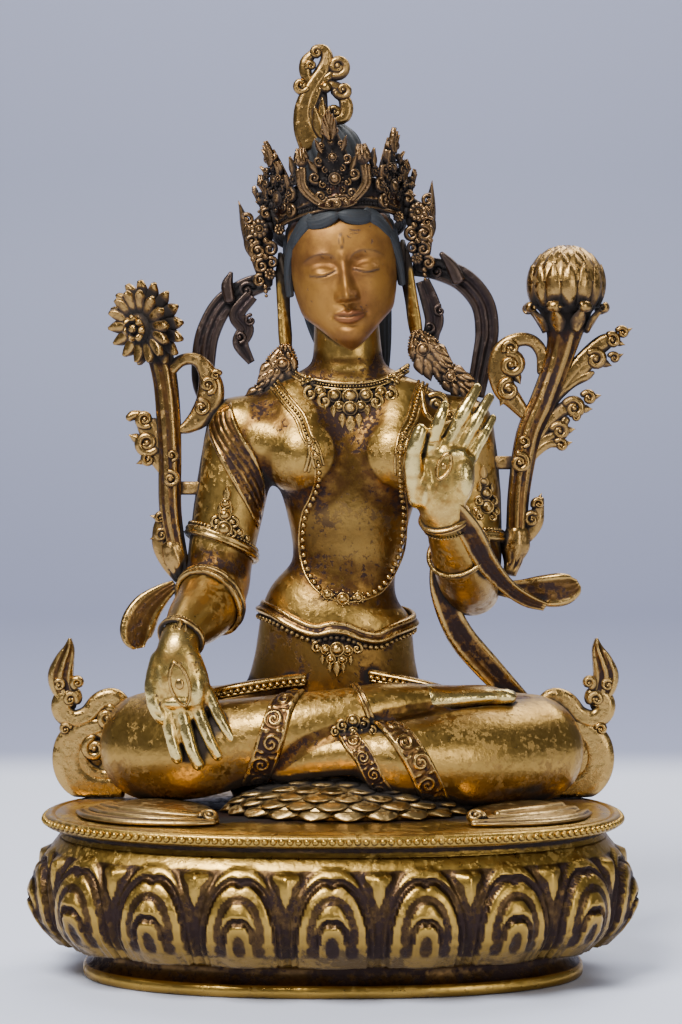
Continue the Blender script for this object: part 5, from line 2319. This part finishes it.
def buildCloth():
    c = cloth
    parts = [strap(rows, 80, 14, side, scarfFace) for side, *rows in c["scarf"]]
    crease = lambda run, across: sum(
        -0.34 * bump((across - at - 0.10 * run + 2.6) / 0.45, 1.0) for at in (-3.6, -1.2, 1.4, 3.8)
    ) + 0.5 * bump(np.abs(across) - 6.0, 0.7)
    parts.append(drapedPatch(c["armOuter"], c["armInner"], 1.2, 90, 34, crease))
    for rows in c["hems"]:
        rows = np.array(rows)
        parts.append(beadString(rows, 1.35, 1.95))
        for shift, half, around in (([0, 2.2, 1.7], [2.4, 1.6], 20), ([0, 0.8, -1.2], [1.5, 1.0], 14)):
            roll = np.column_stack([rows + shift, np.tile(half, (len(rows), 1))])
            parts.append(sweep(roll, side=(0, 1, 0), around=around, count=60))
    for name, path, half, pitch in c["bands"]:
        stations = [[shareAt(name, place), np.radians(turn), 0] for place, turn in path]
        line = smoothLine(stations, bandSteps)
        rows = limbRows(name, line[:, 0], line[:, 1], half, 0.7, 0.1)
        parts.append(strap(rows, 120, 26, pattern=runningScroll(half, pitch, 0.75), bend=half * 0.14))
    flat = [ball(c["fanCentre"], c["fanRadii"], 48, 20)]
    radii = np.array(c["fanRadii"])
    for k, (number, foot, length, half, lift) in enumerate(c["fanScales"]):
        flat += scaleRow(c["fanCentre"], radii, foot, length, half, lift, number, 0.5 * (k % 2))
    ripple = lambda share, turn: (
        -0.5 * bump(np.sin(turn + 0.9), 0.3) - 0.35 * bump(np.sin(turn - 0.4), 0.25)
    )
    for rows in c["folds"]:
        flat.append(sweep(rows, side=(0, 0, 1), around=28, count=60, relief=ripple))
    for x, y, r, flip in c["curls"]:
        curl = volute(0, 0, r, 90 + 90 * flip, -1.2 * flip, 1.3, 0, 1.8, 12)
        flat += turned(curl, (x, y, 2.4), lean=-62)
    flat += [ball(centre, size, 40, 20) for centre, size in c["mounds"]]
    flat = keptOver(flat, 0.0)
    addPiece("scarfAndHems", parts, metals["cast"], "gilt_copper", "figure")
    addPiece("skirtOnPlate", flat, metals["cloth"], "gilt_copper", "figure")


# Ageing

ageing = {
    "cell": 1.4,  # mm, of the grid that counts the surface around a place
    "reach": 2.6,  # mm, how far out of the surface the count is read
    "blurs": 3,
    "flat": 0.27,  # the count over a plain wall
    "full": 0.54,  # the count in a deep hollow
    # the same for broad recesses, on the grid after more blurs
    "wideBlurs": 14,
    "wideReach": 9.0,
    "wideFlat": 0.17,
    "wideFull": 0.30,
    "proudCurve": 0.10,  # mm of bulge over the neighbours that reads as rubbed bright
    "broadCurve": 1.1,  # the same over a wider neighbourhood
}


def blurred(grid):
    for axis in range(3):
        grid = (np.roll(grid, 1, axis) + grid + np.roll(grid, -1, axis)) / 3
    return grid


def readGrid(grid, places):
    # each place's value from the eight cells round it
    low = np.clip(np.floor(places).astype(int), 0, np.array(grid.shape) - 2)
    f = np.clip(places - low, 0, 1)
    total = 0
    for dx in (0, 1):
        for dy in (0, 1):
            for dz in (0, 1):
                corner = np.array([dx, dy, dz])
                share = np.where(corner, f, 1 - f).prod(1)
                total = total + share * grid[tuple((low + corner).T)]
    return total


def agePieces():
    # how much surface lies round a place just over each vertex tells its hollows from its open faces,
    # and how far it stands over its neighbours tells what hands have rubbed
    a = ageing
    data = [readMesh(piece.data) for piece in pieces]
    every = np.concatenate([np.concatenate([v, v[e].mean(1)]) for v, e, _ in data]) / mm
    low = every.min(0) - 12
    shape = np.ceil((every.max(0) + 12 - low) / a["cell"]).astype(int) + 1
    cells = np.unique(((every - low) / a["cell"] + 0.5).astype(int), axis=0)
    grid = np.zeros(shape, np.float32)
    grid[tuple(cells.T)] = 1
    for _ in range(a["blurs"]):
        grid = blurred(grid)
    wideGrid = grid
    for _ in range(a["wideBlurs"]):
        wideGrid = blurred(wideGrid)
    for piece, (verts, edges, normals) in zip(pieces, data):
        place = (verts / mm + normals * a["reach"] - low) / a["cell"]
        count = readGrid(grid, place)
        hollow = np.clip((count - a["flat"]) / (a["full"] - a["flat"]), 0, 1)
        wideCount = readGrid(wideGrid, (verts / mm + normals * a["wideReach"] - low) / a["cell"])
        recess = np.clip((wideCount - a["wideFlat"]) / (a["wideFull"] - a["wideFlat"]), 0, 1)
        hollow = np.maximum(hollow, 0.9 * recess)
        under = np.clip(0.15 - normals[:, 2], 0, 1)
        setAttribute(piece.data, "under", under)
        smooth = averaged(verts / mm, edges, 4)
        bulge = ((verts / mm - smooth) * normals).sum(1)
        bulge = averaged(bulge, edges, 2) / a["proudCurve"]
        wide = averaged(smooth, edges, 20)
        broad = averaged(((smooth - wide) * normals).sum(1), edges, 2) / a["broadCurve"]
        setAttribute(piece.data, "hollow", averaged(hollow, edges, 1))
        setAttribute(piece.data, "proud", np.clip(np.maximum(bulge, broad), 0, 1))
    print("aged", len(every), "places")


print("building the studio")
buildStudio()
buildBackdrop()
print("building the plinth")
buildPlinth()
print("building the body")
skin, *limbEnds = buildBody()
print("building the head")
buildHead()
buildHair()
buildEars()
print("building the crown, ribbons and lotuses")
skinFront = frontMap(np.concatenate(limbEnds))
buildPalmEyes()
skinFront = frontMap(skin)
buildCrown()
buildFinial()
buildRibbons()
buildOpenLotus()
buildBudLotus()
buildScrollEnds()
print("building the jewellery and cloth")
buildJewellery()
buildPendants()
buildCloth()
print("ageing the metal")
agePieces()
